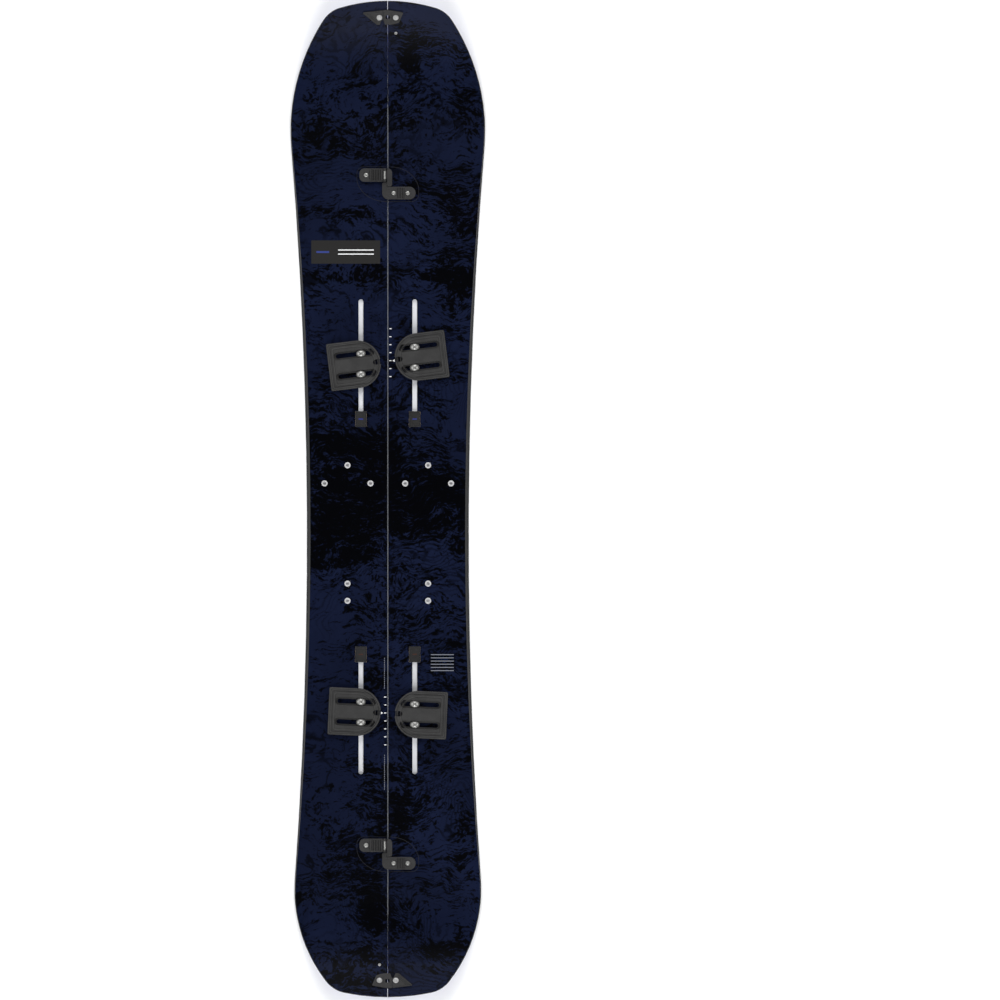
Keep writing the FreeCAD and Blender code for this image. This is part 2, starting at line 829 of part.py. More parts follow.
def make_plug(side, end):
    """The cover that closes the wide mouth where the slot nuts are dropped in."""
    way = 1 if side == "right" else -1
    inward = INWARD[end]
    mouth = CHANNELS[end] + inward * (size("channel_length") / 2 - 3.0 - size("plug_length") / 2)
    bottom = size("cavity_floor") + size("plug_fit")
    plug = Maker(f"{end}_{side}_plug",
                 at(way * size("channel_x"), mouth, bottom, 0 if inward < 0 else 180))
    fit = size("plug_fit")
    stem_half = size("cavity_width") / 2 - fit
    stem_long = size("plug_length") / 2 - fit - 0.4
    flange_level = size("deck_level") - size("upper_stack") - bottom
    flange_half = size("plug_width") / 2 - fit
    flange_long = size("plug_length") / 2 - fit
    corners = [(-flange_half, -flange_long), (flange_half, -flange_long),
               (flange_half, flange_long), (-flange_half, flange_long)]
    plug.pad([rectangle(-stem_half, stem_half, -stem_long, stem_long)], 0.0, flange_level)
    plug.pad([polygon(corners)], flange_level, "<upper_stack>")
    face = flange_level + size("upper_stack")
    rim = 1.6
    inner = [(-flange_half + rim, -flange_long + rim), (flange_half - rim, -flange_long + rim),
             (flange_half - rim, flange_long - rim), (-flange_half + rim, flange_long - rim)]
    plug.pocket([rounded(inner, [1.5] * 4)], face, 0.35)
    keep(f"{end}_{side}_plug", plug.body)


def make_inserts(side):
    """Threaded inserts in the core: five for touring hardware, four for the clip screws."""
    way = 1 if side == "right" else -1
    roof = size("deck_level")
    solids = []
    for x, y in insert_points():
        insert = Maker("Touring_insert", at(way * x, y, roof))
        flange, barrel, bore = (size("insert_radius"), size("insert_barrel_radius"),
                                size("insert_bore_radius"))
        depth = -size("insert_depth")
        flange_bottom = -size("topsheet_thickness")
        insert.turned(polygon([(0, depth), (barrel, depth), (barrel, flange_bottom),
                               (flange, flange_bottom), (flange, 0), (bore, 0),
                               (bore, depth + 0.8), (0, depth + 0.8)]))
        solids.append(insert.body)
    for x, y, _ in clip_points(side):
        insert = Maker("Clip_insert", at(x, y, roof))
        bore = size("clip_screw_radius") + 0.05
        insert.turned(polygon([(0, -6.0), (CLIP_INSERT_RADIUS, -6.0), (CLIP_INSERT_RADIUS, 0),
                               (bore, 0), (bore, -5.4), (0, -5.4)]))
        solids.append(insert.body)
    keep(f"{side}_inserts", group(f"{side}_inserts", solids))


# ---------------------------------------------------------------- binding pucks


def puck_plan(half_width, heel, arc_radius):
    """A block with a rounded square heel and a round toe centred short of the screw line."""
    centre = -size("puck_arc_centre")
    shoulder = centre + math.sqrt(max(arc_radius ** 2 - half_width ** 2, 0.0))
    toe = Part.Arc(Vector(shoulder, -half_width), Vector(centre + arc_radius, 0),
                   Vector(shoulder, half_width))
    corner = size("puck_corner")
    back, inner = corner - heel, half_width - corner
    return [
        line((back, -half_width), (shoulder, -half_width)),
        toe,
        line((shoulder, half_width), (back, half_width)),
        arc((back, inner), (back, half_width), (-heel, inner)),
        line((-heel, inner), (-heel, -inner)),
        arc((back, -inner), (-heel, -inner), (back, -half_width)),
    ]


def station_frame(side, end, height):
    """A frame on the screw line of one puck, X towards the seam along the puck's slots."""
    angle = size(f"{end}_angle")
    x = size("channel_x") * (1 if side == "right" else -1)
    y = size(f"{end}_stance_y") + x * math.tan(math.radians(angle))
    return at(x, y, height, angle + (180 if side == "right" else 0))


def make_puck(side, end):
    floor = size("deck_level") + size("puck_gap")
    puck = Maker(f"{end}_{side}_puck", station_frame(side, end, floor))
    half, heel, top = size("puck_half_width"), size("puck_heel"), size("puck_height")
    foot = half - size("puck_foot_inset")
    platform = half - size("puck_platform_inset")
    puck.pad([puck_plan(foot, heel, foot)], 0.0, "<puck_flange_bottom>")
    puck.pad([puck_plan(half, heel, half + 0.2)], size("puck_flange_bottom"),
             "<puck_flange_top> - <puck_flange_bottom>")
    puck.pad([puck_plan(platform, heel - 7.0, platform + 3.0)], size("puck_flange_top"),
             "<puck_height> - <puck_flange_top>")
    for way in (-1, 1):
        offset = way * size("puck_slot_offset")
        recess = stadium(-size("recess_out"), size("recess_in"), offset, size("recess_width"))
        slot = stadium(-size("puck_slot_out"), size("puck_slot_in"), offset,
                       size("puck_slot_width"))
        puck.pocket([recess], top, "<puck_height> - <recess_floor>")
        puck.pocket([slot], size("recess_floor"), "<recess_floor>")
    notch_half = size("notch_width") / 2
    centre = size("notch_centre")
    notch = [
        Part.Arc(Vector(centre, notch_half), Vector(centre - notch_half, 0),
                 Vector(centre, -notch_half)),
        line((centre, -notch_half), (half, -notch_half)),
        line((half, -notch_half), (half, notch_half)),
        line((half, notch_half), (centre, notch_half)),
    ]
    puck.pocket([notch], top, "<puck_height>")
    keep(f"{end}_{side}_puck", puck.body)


def domed_screw(name, placement, radius, length, head_radius, head_height, cross):
    """A screw with a domed head seated on its frame's XY plane and a cross recess."""
    screw = Maker(name, placement)
    crown = head_height * 0.55
    rim = head_height - crown
    dome = (head_radius ** 2 + crown ** 2) / (2 * crown)
    half_turn = math.asin(head_radius / dome) / 2
    shoulder = (dome * math.sin(half_turn), head_height - dome + dome * math.cos(half_turn))
    outline = [
        line((0, -length), (radius, -length)),
        line((radius, -length), (radius, 0)),
        line((radius, 0), (head_radius, 0)),
        line((head_radius, 0), (head_radius, rim)),
        Part.Arc(Vector(head_radius, rim), Vector(*shoulder), Vector(0, head_height)),
        line((0, head_height), (0, -length)),
    ]
    screw.turned(outline)
    reach, half = cross * head_radius, head_radius * 0.12
    star = [(-reach, -half), (-half, -half), (-half, -reach), (half, -reach), (half, -half),
            (reach, -half), (reach, half), (half, half), (half, reach), (-half, reach),
            (-half, half), (-reach, half)]
    screw.pocket([polygon(star)], head_height, head_height * 0.6)
    return screw.body


def make_puck_hardware(side, end):
    """Two screws, two long washers and two slot nuts, which slide in the channel together."""
    frame = station_frame(side, end, 0.0)
    spread = size("puck_slot_offset") / math.cos(math.radians(size(f"{end}_angle")))
    seat = size("deck_level") + size("puck_gap") + size("recess_floor")
    nut_floor = size("cavity_floor") + 0.4
    head_seat = seat + size("washer_thickness")
    screws, washers, nuts = [], [], []
    for way in (-1, 1):
        x, y = frame.Base.x, frame.Base.y + way * spread
        screws.append(domed_screw(
            "Puck_screw", at(x, y, head_seat, 45), size("screw_radius"), head_seat - nut_floor,
            size("screw_head_radius"), size("screw_head_height"), 0.55))
        washer = Maker("Long_washer", at(x, y, seat, size(f"{end}_angle")))
        reach = size("washer_length") / 2
        washer.pad([stadium(-reach, reach, 0, size("washer_width")),
                    circle(0, 0, size("screw_radius") + 0.2)], 0.0, "<washer_thickness>")
        washers.append(washer.body)
        nut = Maker("Slot_nut", at(x, y, nut_floor))
        half = size("nut_side") / 2
        nut.pad([rectangle(-half, half, -half, half), circle(0, 0, size("screw_radius") + 0.05)],
                0.0, "<nut_height>")
        nuts.append(nut.body)
    keep(f"{end}_{side}_screws", group(f"{end}_{side}_screws", screws))
    keep(f"{end}_{side}_washers", group(f"{end}_{side}_washers", washers))
    keep(f"{end}_{side}_slot_nuts", group(f"{end}_{side}_slot_nuts", nuts))


# ---------------------------------------------------------------- joining clips


def make_clip(end):
    """The lever side on the left half and the catch on the right half, hooked across the seam."""
    origin = at(0, size(f"{end}_clip_y"), size("deck_level"))
    low = size("clip_arm_y") - size("clip_arm_width") / 2
    high = size("clip_arm_y") + size("clip_arm_width") / 2
    middle = size("clip_arm_y")
    pin_x, pin_z = -size("clip_pin_x"), size("clip_pin_z")
    make_clip_base(end, origin, low, high, middle, pin_x, pin_z)
    make_clip_hook(end, origin, high, middle)
    make_clip_lever(end, origin, low, high, pin_x, pin_z)
    make_clip_catch(end, origin, low, high)
    pin = cylinder(f"{end}_clip_pin", "<clip_pin_radius>", high - low,
                   Placement(origin.Base + Vector(pin_x, high, pin_z),
                             Rotation(Vector(1, 0, 0), 90)))
    keep(f"{end}_clip_pin", pin)


def tombstone(pin_x, pin_z, foot, radius):
    """A cheek seen from the side: an upright with a round head about the pin."""
    return [
        line((pin_x - radius, foot), (pin_x + radius, foot)),
        line((pin_x + radius, foot), (pin_x + radius, pin_z)),
        Part.Arc(Vector(pin_x + radius, pin_z), Vector(pin_x, pin_z + radius),
                 Vector(pin_x - radius, pin_z)),
        line((pin_x - radius, pin_z), (pin_x - radius, foot)),
    ]


def make_clip_base(end, origin, low, high, middle, pin_x, pin_z):
    """The plate screwed to the left half, with rails for the hook and cheeks for the pin."""
    cheek_radius = 2.8
    inner_end = pin_x + cheek_radius
    reach = -size("clip_reach")
    base = Maker(f"{end}_clip_base", origin)
    foot = [(reach, low), (inner_end, low), (inner_end, high), (reach, high)]
    base.pad([rounded(foot, [8.0, 0.0, 0.0, 8.0])], 0.0, "<clip_plate>")
    boss = [(reach, low), (-28.6, low), (-28.6, high), (reach, high)]
    base.pad([rounded(boss, [8.0, 0.0, 0.0, 8.0])], size("clip_plate"),
             "<clip_boss> - <clip_plate>")
    rail = 3.4
    for near in (low, high - rail):
        base.pad([rectangle(-28.6, pin_x - cheek_radius, near, near + rail)], size("clip_plate"),
                 "<clip_boss> - <clip_plate>")
    cheek = size("clip_cheek")
    for near in (low, high - cheek):
        base.pad([tombstone(pin_x, pin_z, size("clip_plate"), cheek_radius)], -near - cheek,
                 "<clip_cheek>", "XZ_Plane")
    boss_seat, plate_seat = 2.2, 1.9
    outer_x, inner_x = -BASE_SCREWS_X[0], -BASE_SCREWS_X[1]
    wide, narrow = size("clip_head_radius") + 0.2, size("clip_screw_radius") + 0.2
    base.pocket([circle(outer_x, middle, wide)], size("clip_boss"), boss_seat)
    base.pocket([circle(inner_x, middle, wide)], size("clip_plate"), plate_seat)
    base.pocket([circle(outer_x, middle, narrow), circle(inner_x, middle, narrow)],
                size("clip_boss"), "<clip_boss>")
    base.pocket([circle(pin_x, pin_z, size("clip_pin_radius"))], -low, high - low, "XZ_Plane")
    keep(f"{end}_clip_base", base.body)


def make_clip_hook(end, origin, high, middle):
    """The sliding hook: a neck between the rails and a finger that turns down past the seam."""
    hook = Maker(f"{end}_clip_hook", origin)
    face, reach = -size("finger_face"), size("finger_reach")
    finger_tip, underside = -3.6, 1.2
    finger = [(face, finger_tip), (reach, finger_tip), (reach, high - 0.2), (face, high - 0.2)]
    hook.pad([rounded(finger, [1.0, 3.2, 7.0, 0.8])], underside, 6.0 - underside)
    neck_half = size("clip_arm_width") / 2 - 3.7
    hook.pad([rectangle(-24.0, face + 1.0, middle - neck_half, middle + neck_half)], 2.8, 2.2)
    keep(f"{end}_clip_hook", hook.body)


def make_clip_lever(end, origin, low, high, pin_x, pin_z):
    """The over-centre lever: a ribbed thumb plate on two arms about the steel pin."""
    lever = Maker(f"{end}_clip_lever", origin)
    plate_bottom, plate_height = 5.3, 2.5
    outer, inner = -28.0, pin_x - 3.4
    plate = [(outer, low + 0.2), (inner, low + 0.2), (inner, high - 0.2), (outer, high - 0.2)]
    lever.pad([rounded(plate, [2.0, 0.5, 0.5, 2.0])], plate_bottom, plate_height)
    arm_width, arm_gap, arm_radius = 1.7, 0.3, 2.6
    plate_top = plate_bottom + plate_height
    side = [
        line((inner - 1.0, plate_bottom), (pin_x, pin_z - arm_radius)),
        Part.Arc(Vector(pin_x, pin_z - arm_radius), Vector(pin_x + arm_radius, pin_z),
                 Vector(pin_x, pin_z + arm_radius)),
        line((pin_x, pin_z + arm_radius), (inner - 1.0, plate_top)),
        line((inner - 1.0, plate_top), (inner - 1.0, plate_bottom)),
    ]
    inset = size("clip_cheek") + arm_gap
    for near in (low + inset, high - inset - arm_width):
        lever.pad([side], -near - arm_width, arm_width, "XZ_Plane")
    bore = size("clip_pin_radius") + 0.05
    lever.pocket([circle(pin_x, pin_z, bore)], -low, high - low, "XZ_Plane")
    rib_pitch, rib_count, rib_width = 2.6, 7, 1.2
    first = outer + 1.4
    rib = lever.pad([rectangle(first, first + rib_width, low + 1.4, high - 1.4)], plate_top, 0.5)
    lever.repeat(rib, "X_Axis", rib_pitch * (rib_count - 1), rib_count)
    keep(f"{end}_clip_lever", lever.body)


def make_clip_catch(end, origin, low, high):
    """The fixed catch screwed to the right half, its own finger reaching back over the seam."""
    catch = Maker(f"{end}_clip_catch", origin)
    reach, top = size("clip_reach") - 1.0, size("catch_height")
    bottom, shoulder = -high + 0.6, -low - 0.6
    finger_left, finger_right, finger_tip = -8.8, -size("finger_face") - 0.3, 2.8
    step = 0.5
    plan = [(finger_left, bottom), (reach, bottom), (reach, shoulder), (finger_right, shoulder),
            (finger_right, finger_tip), (finger_left, finger_tip)]
    catch.pad([rounded(plan, [10.0, 9.4, 9.4, 0.0, 1.0, 3.2])], step, top - step)
    resting = [(0.8, bottom), (reach, bottom), (reach, shoulder), (0.8, shoulder)]
    catch.pad([rounded(resting, [0.0, 9.4, 9.4, 0.0])], 0.0, step)
    middle = -size("clip_arm_y")
    wide, narrow = size("clip_head_radius") + 0.2, size("clip_screw_radius") + 0.2
    for x in CATCH_SCREWS_X:
        catch.pocket([circle(x, middle, wide)], top, 2.5)
        catch.pocket([circle(x, middle, narrow)], top, "<catch_height>")
    groove = catch.pocket([rectangle(14.6, 15.6, bottom + 1.5, shoulder - 1.5)], top, 0.6)
    catch.repeat(groove, "X_Axis", 10.4, 5)
    keep(f"{end}_clip_catch", catch.body)


def make_clip_screws(side):
    screws = [
        domed_screw("Clip_screw", at(x, y, size("deck_level") + seat, 20),
                    size("clip_screw_radius"), 5.0 + seat, size("clip_head_radius"),
                    size("clip_head_height"), 0.6)
        for x, y, seat in clip_points(side)
    ]
    keep(f"{side}_clip_screws", group(f"{side}_clip_screws", screws))


# ---------------------------------------------------------------- nose and tail plates


def make_tip_plates(end):
    """A wing plate and a hook plate whose tongue lies over the other half."""
    frame = tip_frame(end)
    height = size("tip_plate_height")
    screw_x = size("tip_screw_x")
    seat = 2.0
    wing = Maker(f"{end}_wing_plate", frame)
    wing_plan = [(-39.8, 8.2), (-17.2, -11.6), (-12.2, -11.6), (-10.2, -5.6), (-7.4, -3.4),
                 (-7.4, 12.2)]
    wing.pad([rounded(wing_plan, [1.2, 1.8, 1.2, 0.5, 0.5, 0.5])], 0.0, height - 0.7)
    rib_a = [(-35.4, 6.6), (-17.4, -9.4), (-16.2, -9.4), (-33.0, 6.6)]
    rib_b = [(-30.0, 6.2), (-17.6, -5.4), (-17.2, -4.0), (-27.8, 6.2)]
    wing.pad([polygon(rib_a)], height - 0.7, 0.7)
    wing.pad([polygon(rib_b)], height - 0.7, 0.7)
    top_rib = [(-36.4, 8.9), (-36.0, 7.5), (-7.9, 10.4), (-7.9, 11.8)]
    wing.pad([polygon(top_rib)], height - 0.7, 0.7)
    wing.pocket([circle(-screw_x, 0, size("tip_head_radius") + 0.2)], height, height - seat)
    wing.pocket([circle(-screw_x, 0, 1.9)], seat, seat)
    keep(f"{end}_wing_plate", wing.body)

    hook = Maker(f"{end}_hook_plate", frame)
    lift = 0.3
    hook_plan = [(-6.9, 12.3), (-6.9, -3.0), (-4.0, -11.2), (0.0, -11.7), (10.0, -10.6),
                 (17.8, -8.0), (24.6, 8.4), (0.0, 12.8)]
    hook.pad([rounded(hook_plan, [0.5, 1.0, 1.5, 0.0, 0.0, 1.5, 1.2, 0.0])], lift, height - lift)
    resting = [(0.8, 12.6), (0.8, -11.6), (10.0, -10.6), (17.8, -8.0), (24.6, 8.4)]
    hook.pad([rounded(resting, [0.0, 0.0, 0.0, 1.5, 1.2])], 0.0, lift)
    hook.pocket([rectangle(-3.0, 3.8, -1.9, 3.8)], height, height)
    hook.pocket([circle(screw_x, 0, size("tip_head_radius") + 0.2)], height, height - seat)
    hook.pocket([circle(screw_x, 0, 1.9)], seat, seat)
    for x in (-5.6, 6.2):
        hook.pocket([rectangle(x, x + 0.9, -6.0, 9.5)], height, 0.5)
    keep(f"{end}_hook_plate", hook.body)


def make_tip_fasteners(side):
    """Binding posts through each tip: barrels flush with the base, screws from the deck."""
    screws, barrels = [], []
    for frame, x, is_post in tip_points(side):
        seat, head, head_height = (-1.1, 2.4, 1.2) if is_post else (2.0, size("tip_head_radius"), 1.7)
        barrel_bottom, barrel_top = (-6.3, -1.2) if is_post else (-5.9, -0.1)
        screws.append(domed_screw("Tip_screw", moved(frame, x, seat), 1.7, seat + 4.6, head,
                                  head_height, 0.45))
        barrel = Maker("Tip_barrel", moved(frame, x, 0.0))
        outer, bore = size("tip_barrel_radius"), 1.75
        barrel.turned(polygon([(0, barrel_bottom), (outer, barrel_bottom), (outer, barrel_top),
                               (bore, barrel_top), (bore, -4.8), (0, -4.8)]))
        barrels.append(barrel.body)
    keep(f"{side}_tip_screws", group(f"{side}_tip_screws", screws))
    keep(f"{side}_tip_barrels", group(f"{side}_tip_barrels", barrels))


# ---------------------------------------------------------------- build, check, write


def check_document():
    """Stop if any object failed or any sub-part's shape is empty or not valid."""
    for item in doc.Objects:
        if any(word in item.State for word in ("Invalid", "Error")):
            raise RuntimeError(f"{item.Label} did not recompute: {item.State}")
    for name, feature in NODES.items():
        shape = feature.Shape
        if shape.isNull() or not shape.isValid() or not shape.Solids:
            raise RuntimeError(f"{name} is empty or not valid")
        print(f"{name:24s} {len(shape.Solids)} solids {shape.Volume:12.1f} mm3")


def main():
    make_laminate()
    for side in ("left", "right"):
        make_channels(side)
        make_inserts(side)
        make_clip_screws(side)
        make_tip_fasteners(side)
        for end in ("front", "rear"):
            make_plug(side, end)
            make_puck(side, end)
            make_puck_hardware(side, end)
    for end in ("nose", "tail"):
        make_clip(end)
        make_tip_plates(end)
    doc.recompute()
    check_document()
    os.makedirs("parts", exist_ok=True)
    for name, feature in NODES.items():
        feature.Shape.exportStep(f"parts/{name}.step")


main()
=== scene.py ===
import json
import math

import bpy
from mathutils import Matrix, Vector


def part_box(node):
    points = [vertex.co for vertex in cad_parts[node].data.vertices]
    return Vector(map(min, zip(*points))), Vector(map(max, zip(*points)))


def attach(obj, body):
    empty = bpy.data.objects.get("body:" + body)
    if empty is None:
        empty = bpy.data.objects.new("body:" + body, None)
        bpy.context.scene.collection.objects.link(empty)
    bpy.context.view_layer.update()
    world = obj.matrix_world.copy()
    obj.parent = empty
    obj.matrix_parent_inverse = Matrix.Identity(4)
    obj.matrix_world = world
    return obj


bl_info = {
    "name": "Splitboard finish",
    "version": (1, 0, 0),
    "blender": (4, 5, 0),
    "location": "3D View > Sidebar > Splitboard",
    "description": "Finishes, printed marks and small mouldings for a splitboard and its hardware",
    "category": "Object",
}

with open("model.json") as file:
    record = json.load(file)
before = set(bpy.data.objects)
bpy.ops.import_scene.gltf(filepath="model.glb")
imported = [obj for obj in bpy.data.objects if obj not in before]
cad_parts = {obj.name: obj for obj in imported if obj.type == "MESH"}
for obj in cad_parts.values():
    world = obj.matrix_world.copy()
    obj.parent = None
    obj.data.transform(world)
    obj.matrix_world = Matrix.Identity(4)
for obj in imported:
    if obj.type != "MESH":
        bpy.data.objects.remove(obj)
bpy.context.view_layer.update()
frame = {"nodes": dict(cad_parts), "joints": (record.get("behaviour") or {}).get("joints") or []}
MM = 0.001
SIDES = ("left", "right")
STANCES = ("front", "rear")
ENDS = ("nose", "tail")
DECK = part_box("left_inserts")[1].z
SEAM_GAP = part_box("right_topsheet")[0].x


# ---------------------------------------------------------------- shader maths


class Wire:
    """A shader socket that does arithmetic: each operator adds a Math node to the tree."""

    def __init__(self, shader, socket):
        self.shader = shader
        self.socket = socket

    def math(self, operation, *values):
        settings = {"operation": operation}
        return self.shader.node("ShaderNodeMath", settings, dict(enumerate(values)))

    def __add__(self, other):
        return self.math("ADD", self, other)

    def __sub__(self, other):
        return self.math("SUBTRACT", self, other)

    def __rsub__(self, other):
        return self.math("SUBTRACT", other, self)

    def __mul__(self, other):
        return self.math("MULTIPLY", self, other)

    def __truediv__(self, other):
        return self.math("DIVIDE", self, other)

    def __rpow__(self, other):
        return self.math("POWER", other, self)

    def __abs__(self):
        return self.math("ABSOLUTE", self)

    __radd__ = __add__
    __rmul__ = __mul__

    def fraction(self):
        return self.math("FRACT", self)

    def most(self, other):
        return self.math("MAXIMUM", self, other)

    def least(self, other):
        return self.math("MINIMUM", self, other)

    def smooth(self, low, high):
        """0 below low, 1 above high and a soft step between."""
        settings = {"interpolation_type": "SMOOTHSTEP"}
        sockets = {"Value": self, "From Min": low, "From Max": high}
        return self.shader.node("ShaderNodeMapRange", settings, sockets)

    def axis(self, index):
        return self.shader.node("ShaderNodeSeparateXYZ", {}, {0: self}, output=index)

    def stretched(self, scale):
        """A vector multiplied axis by axis."""
        return self.shader.node("ShaderNodeVectorMath", {"operation": "MULTIPLY"},
                                {0: self, 1: scale})

    def pushed(self, push, amount):
        """A point moved by a colour's three channels, up to an amount each way."""
        settings = {"operation": "MULTIPLY_ADD"}
        return self.shader.node("ShaderNodeVectorMath", settings,
                                {0: push, 1: (amount, amount, amount), 2: self})


class Finish:
    """A material and its node tree, built with expressions."""

    def __init__(self, name):
        self.material = bpy.data.materials.new(name)
        self.material.use_nodes = True
        self.tree = self.material.node_tree
        self.surface = self.tree.nodes["Principled BSDF"]

    def node(self, kind, settings, sockets, output=0):
        made = self.tree.nodes.new(kind)
        for name, setting in settings.items():
            setattr(made, name, setting)
        for key, value in sockets.items():
            self.feed(made.inputs[key], value)
        return Wire(self, made.outputs[output])

    def feed(self, socket, value):
        if isinstance(value, Wire):
            self.tree.links.new(value.socket, socket)
        else:
            socket.default_value = value

    def place(self):
        """Where a point is on the board, in metres."""
        return self.node("ShaderNodeTexCoord", {}, {}, output="Object")

    def noise(self, vector, scale, detail=2.0, roughness=0.5, colour=False):
        sockets = {"Vector": vector, "Scale": scale, "Detail": detail, "Roughness": roughness}
        return self.node("ShaderNodeTexNoise", {}, sockets, output=1 if colour else 0)

    def mix(self, share, first, second):
        settings = {"data_type": "RGBA"}
        return self.node("ShaderNodeMix", settings, {0: share, 6: first, 7: second}, output=2)

    def rounded(self, radius):
        """A normal that softens sharp corners."""
        return self.node("ShaderNodeBevel", {"samples": 4}, {"Radius": radius})

    def bump(self, height, depth, strength=1.0, normal=None):
        sockets = {"Height": height, "Distance": depth, "Strength": strength}
        if normal:
            sockets["Normal"] = normal
        return self.node("ShaderNodeBump", {}, sockets)

    def set(self, **values):
        """Feed the main shader's sockets, named with underscores for spaces."""
        for name, value in values.items():
            self.feed(self.surface.inputs[name.replace("_", " ")], value)
        return self.material


def opaque(colour):
    return (colour[0], colour[1], colour[2], 1.0)


def shaded(colour, factor):
    """A colour made lighter or darker."""
    return tuple(min(channel * factor, 1.0) for channel in colour[:3]) + (1.0,)


# ---------------------------------------------------------------- finishes


# Dark drifts in the deck's drawing: centre and reach across and along the board in metres, weight.
DRIFTS = (
    (-0.060, 0.078, 0.090, 0.030, 0.60),
    (-0.020, -0.022, 0.150, 0.050, 0.95),
    (-0.090, -0.082, 0.070, 0.040, 0.80),
    (0.090, 0.012, 0.080, 0.032, 0.75),
    (-0.060, 0.352, 0.110, 0.020, 0.62),
    (0.090, 0.340, 0.080, 0.022, 0.55),
    (0.105, 0.460, 0.030, 0.050, 0.50),
    (0.045, 0.500, 0.016, 0.034, 0.50),
    (-0.012, 0.552, 0.018, 0.026, 0.55),
    (0.115, 0.640, 0.028, 0.050, 0.50),
    (0.034, 0.690, 0.016, 0.040, 0.50),
    (-0.100, 0.447, 0.050, 0.009, 0.50),
    (0.020, -0.505, 0.022, 0.040, 0.48),
    (0.118, -0.500, 0.026, 0.055, 0.42),
    (-0.025, -0.650, 0.022, 0.070, 0.50),
    (0.080, -0.708, 0.060, 0.018, 0.72),
    (-0.085, -0.720, 0.040, 0.022, 0.50),
)


def deck_drawing(finish, place):
    """How black the printed drawing is: dark drifts, ragged veins and thin contour lines."""
    across, along = place.axis(0), place.axis(1)
    drift = None
    for centre_x, centre_y, reach_x, reach_y, weight in DRIFTS:
        right = (across - centre_x) / reach_x
        ahead = (along - centre_y) / reach_y
        blot = weight * (math.e ** (0.0 - (right * right + ahead * ahead)))
        drift = blot if drift is None else drift + blot
    swirl = finish.noise(place, 5.5, 3.0, 0.55, colour=True)
    flow = place.pushed(swirl, 0.16)
    ripple = finish.noise(place, 34.0, 4.0, 0.65, colour=True)
    ragged = flow.pushed(ripple, 0.018)
    patches = finish.noise(flow, 7.0, 4.0, 0.6).smooth(0.38, 0.66)
    busy = (drift + 0.55 * patches).least(1.0)
    broad = finish.noise(ragged.stretched((16.0, 52.0, 16.0)), 1.0, 3.0, 0.60)
    fine = finish.noise(ragged.stretched((62.0, 190.0, 62.0)), 1.0, 3.0, 0.65)
    finest = finish.noise(ragged.stretched((150.0, 420.0, 150.0)), 1.0, 2.0, 0.60)
    stroke = 0.26 * broad + 0.38 * fine + 0.36 * finest + 0.150 * busy
    black = stroke.smooth(0.535, 0.605)
    vein_field = abs(finish.noise(ragged, 9.5, 3.0, 0.55) - 0.5)
    vein_place = finish.noise(place, 9.0, 1.0).smooth(0.44, 0.56)
    vein = (1.0 - vein_field.smooth(0.002, 0.016)) * vein_place
    rings = finish.noise(flow, 3.6, 1.5, 0.4) * 74.0 + ripple.axis(1) * 2.4
    ring_line = abs(rings.fraction() - 0.5).smooth(0.24, 0.46)
    ring_place = finish.noise(place.stretched((1.0, 0.8, 1.0)), 6.5, 2.0).smooth(0.44, 0.60)
    contour = ring_line * ring_place * 0.55
    return black.most(vein * 0.8).most(contour)


def topsheet_print(colours):
    finish = Finish("topsheet_print")
    place = finish.place()
    cloud = finish.noise(place, 4.0, 4.0, 0.6)
    navy = finish.mix(cloud.smooth(0.35, 0.65), shaded(colours.deck_navy, 0.82),
                      shaded(colours.deck_navy, 1.22))
    drawing = deck_drawing(finish, place)
    colour = finish.mix(drawing, navy, opaque(colours.deck_black))
    grain = finish.noise(place, 900.0, 2.0)
    return finish.set(Base_Color=colour, Roughness=0.26 + 0.06 * grain + 0.04 * drawing,
                      Specular_IOR_Level=0.035,
                      Normal=finish.bump(grain, 0.00004, 0.5))


def sintered_base(colours):
    """Plain blue running base with a fine ground structure."""
    finish = Finish("sintered_base")
    place = finish.place()
    cloud = finish.noise(place, 3.0, 3.0)
    blue = finish.mix(cloud, shaded(colours.base_blue, 0.94), shaded(colours.base_blue, 1.05))
    grind = finish.noise(place.stretched((1500.0, 9.0, 9.0)), 1.0, 2.0)
    return finish.set(Base_Color=blue, Roughness=0.34 + 0.16 * grind,
                      Specular_IOR_Level=0.35, Normal=finish.bump(grind, 0.00006, 0.5))


def brushed_metal(name, colour, roughness, metallic, grain, corner=0.00025):
    """Metal whose fine scratches run along the axis with the smallest grain number."""
    finish = Finish(name)
    place = finish.place()
    scratch = finish.noise(place.stretched(grain), 1.0, 3.0, 0.6)
    cloud = finish.noise(place, 60.0, 3.0)
    tone = finish.mix(scratch * 0.6 + cloud * 0.4, shaded(colour, 0.80), shaded(colour, 1.18))
    normal = finish.bump(scratch, 0.00003, 0.4, finish.rounded(corner))
    return finish.set(Base_Color=tone, Metallic=metallic,
                      Roughness=roughness + 0.18 * (scratch - 0.5), Normal=normal)


def moulded(name, colour, roughness, pore=1400.0, depth=0.00006, corner=0.0004):
    """Moulded or anodised surface with a fine spark-eroded grain and slightly worn tone."""
    finish = Finish(name)
    place = finish.place()
    pores = finish.noise(place, pore, 3.0, 0.6)
    cloud = finish.noise(place, 45.0, 4.0, 0.6)
    tone = finish.mix(cloud.smooth(0.3, 0.7), shaded(colour, 0.86), shaded(colour, 1.16))
    normal = finish.bump(pores, depth, 0.6, finish.rounded(corner))
    return finish.set(Base_Color=tone, Roughness=roughness + 0.14 * (pores - 0.5) + 0.08 * cloud,
                      Specular_IOR_Level=0.2, Normal=normal)


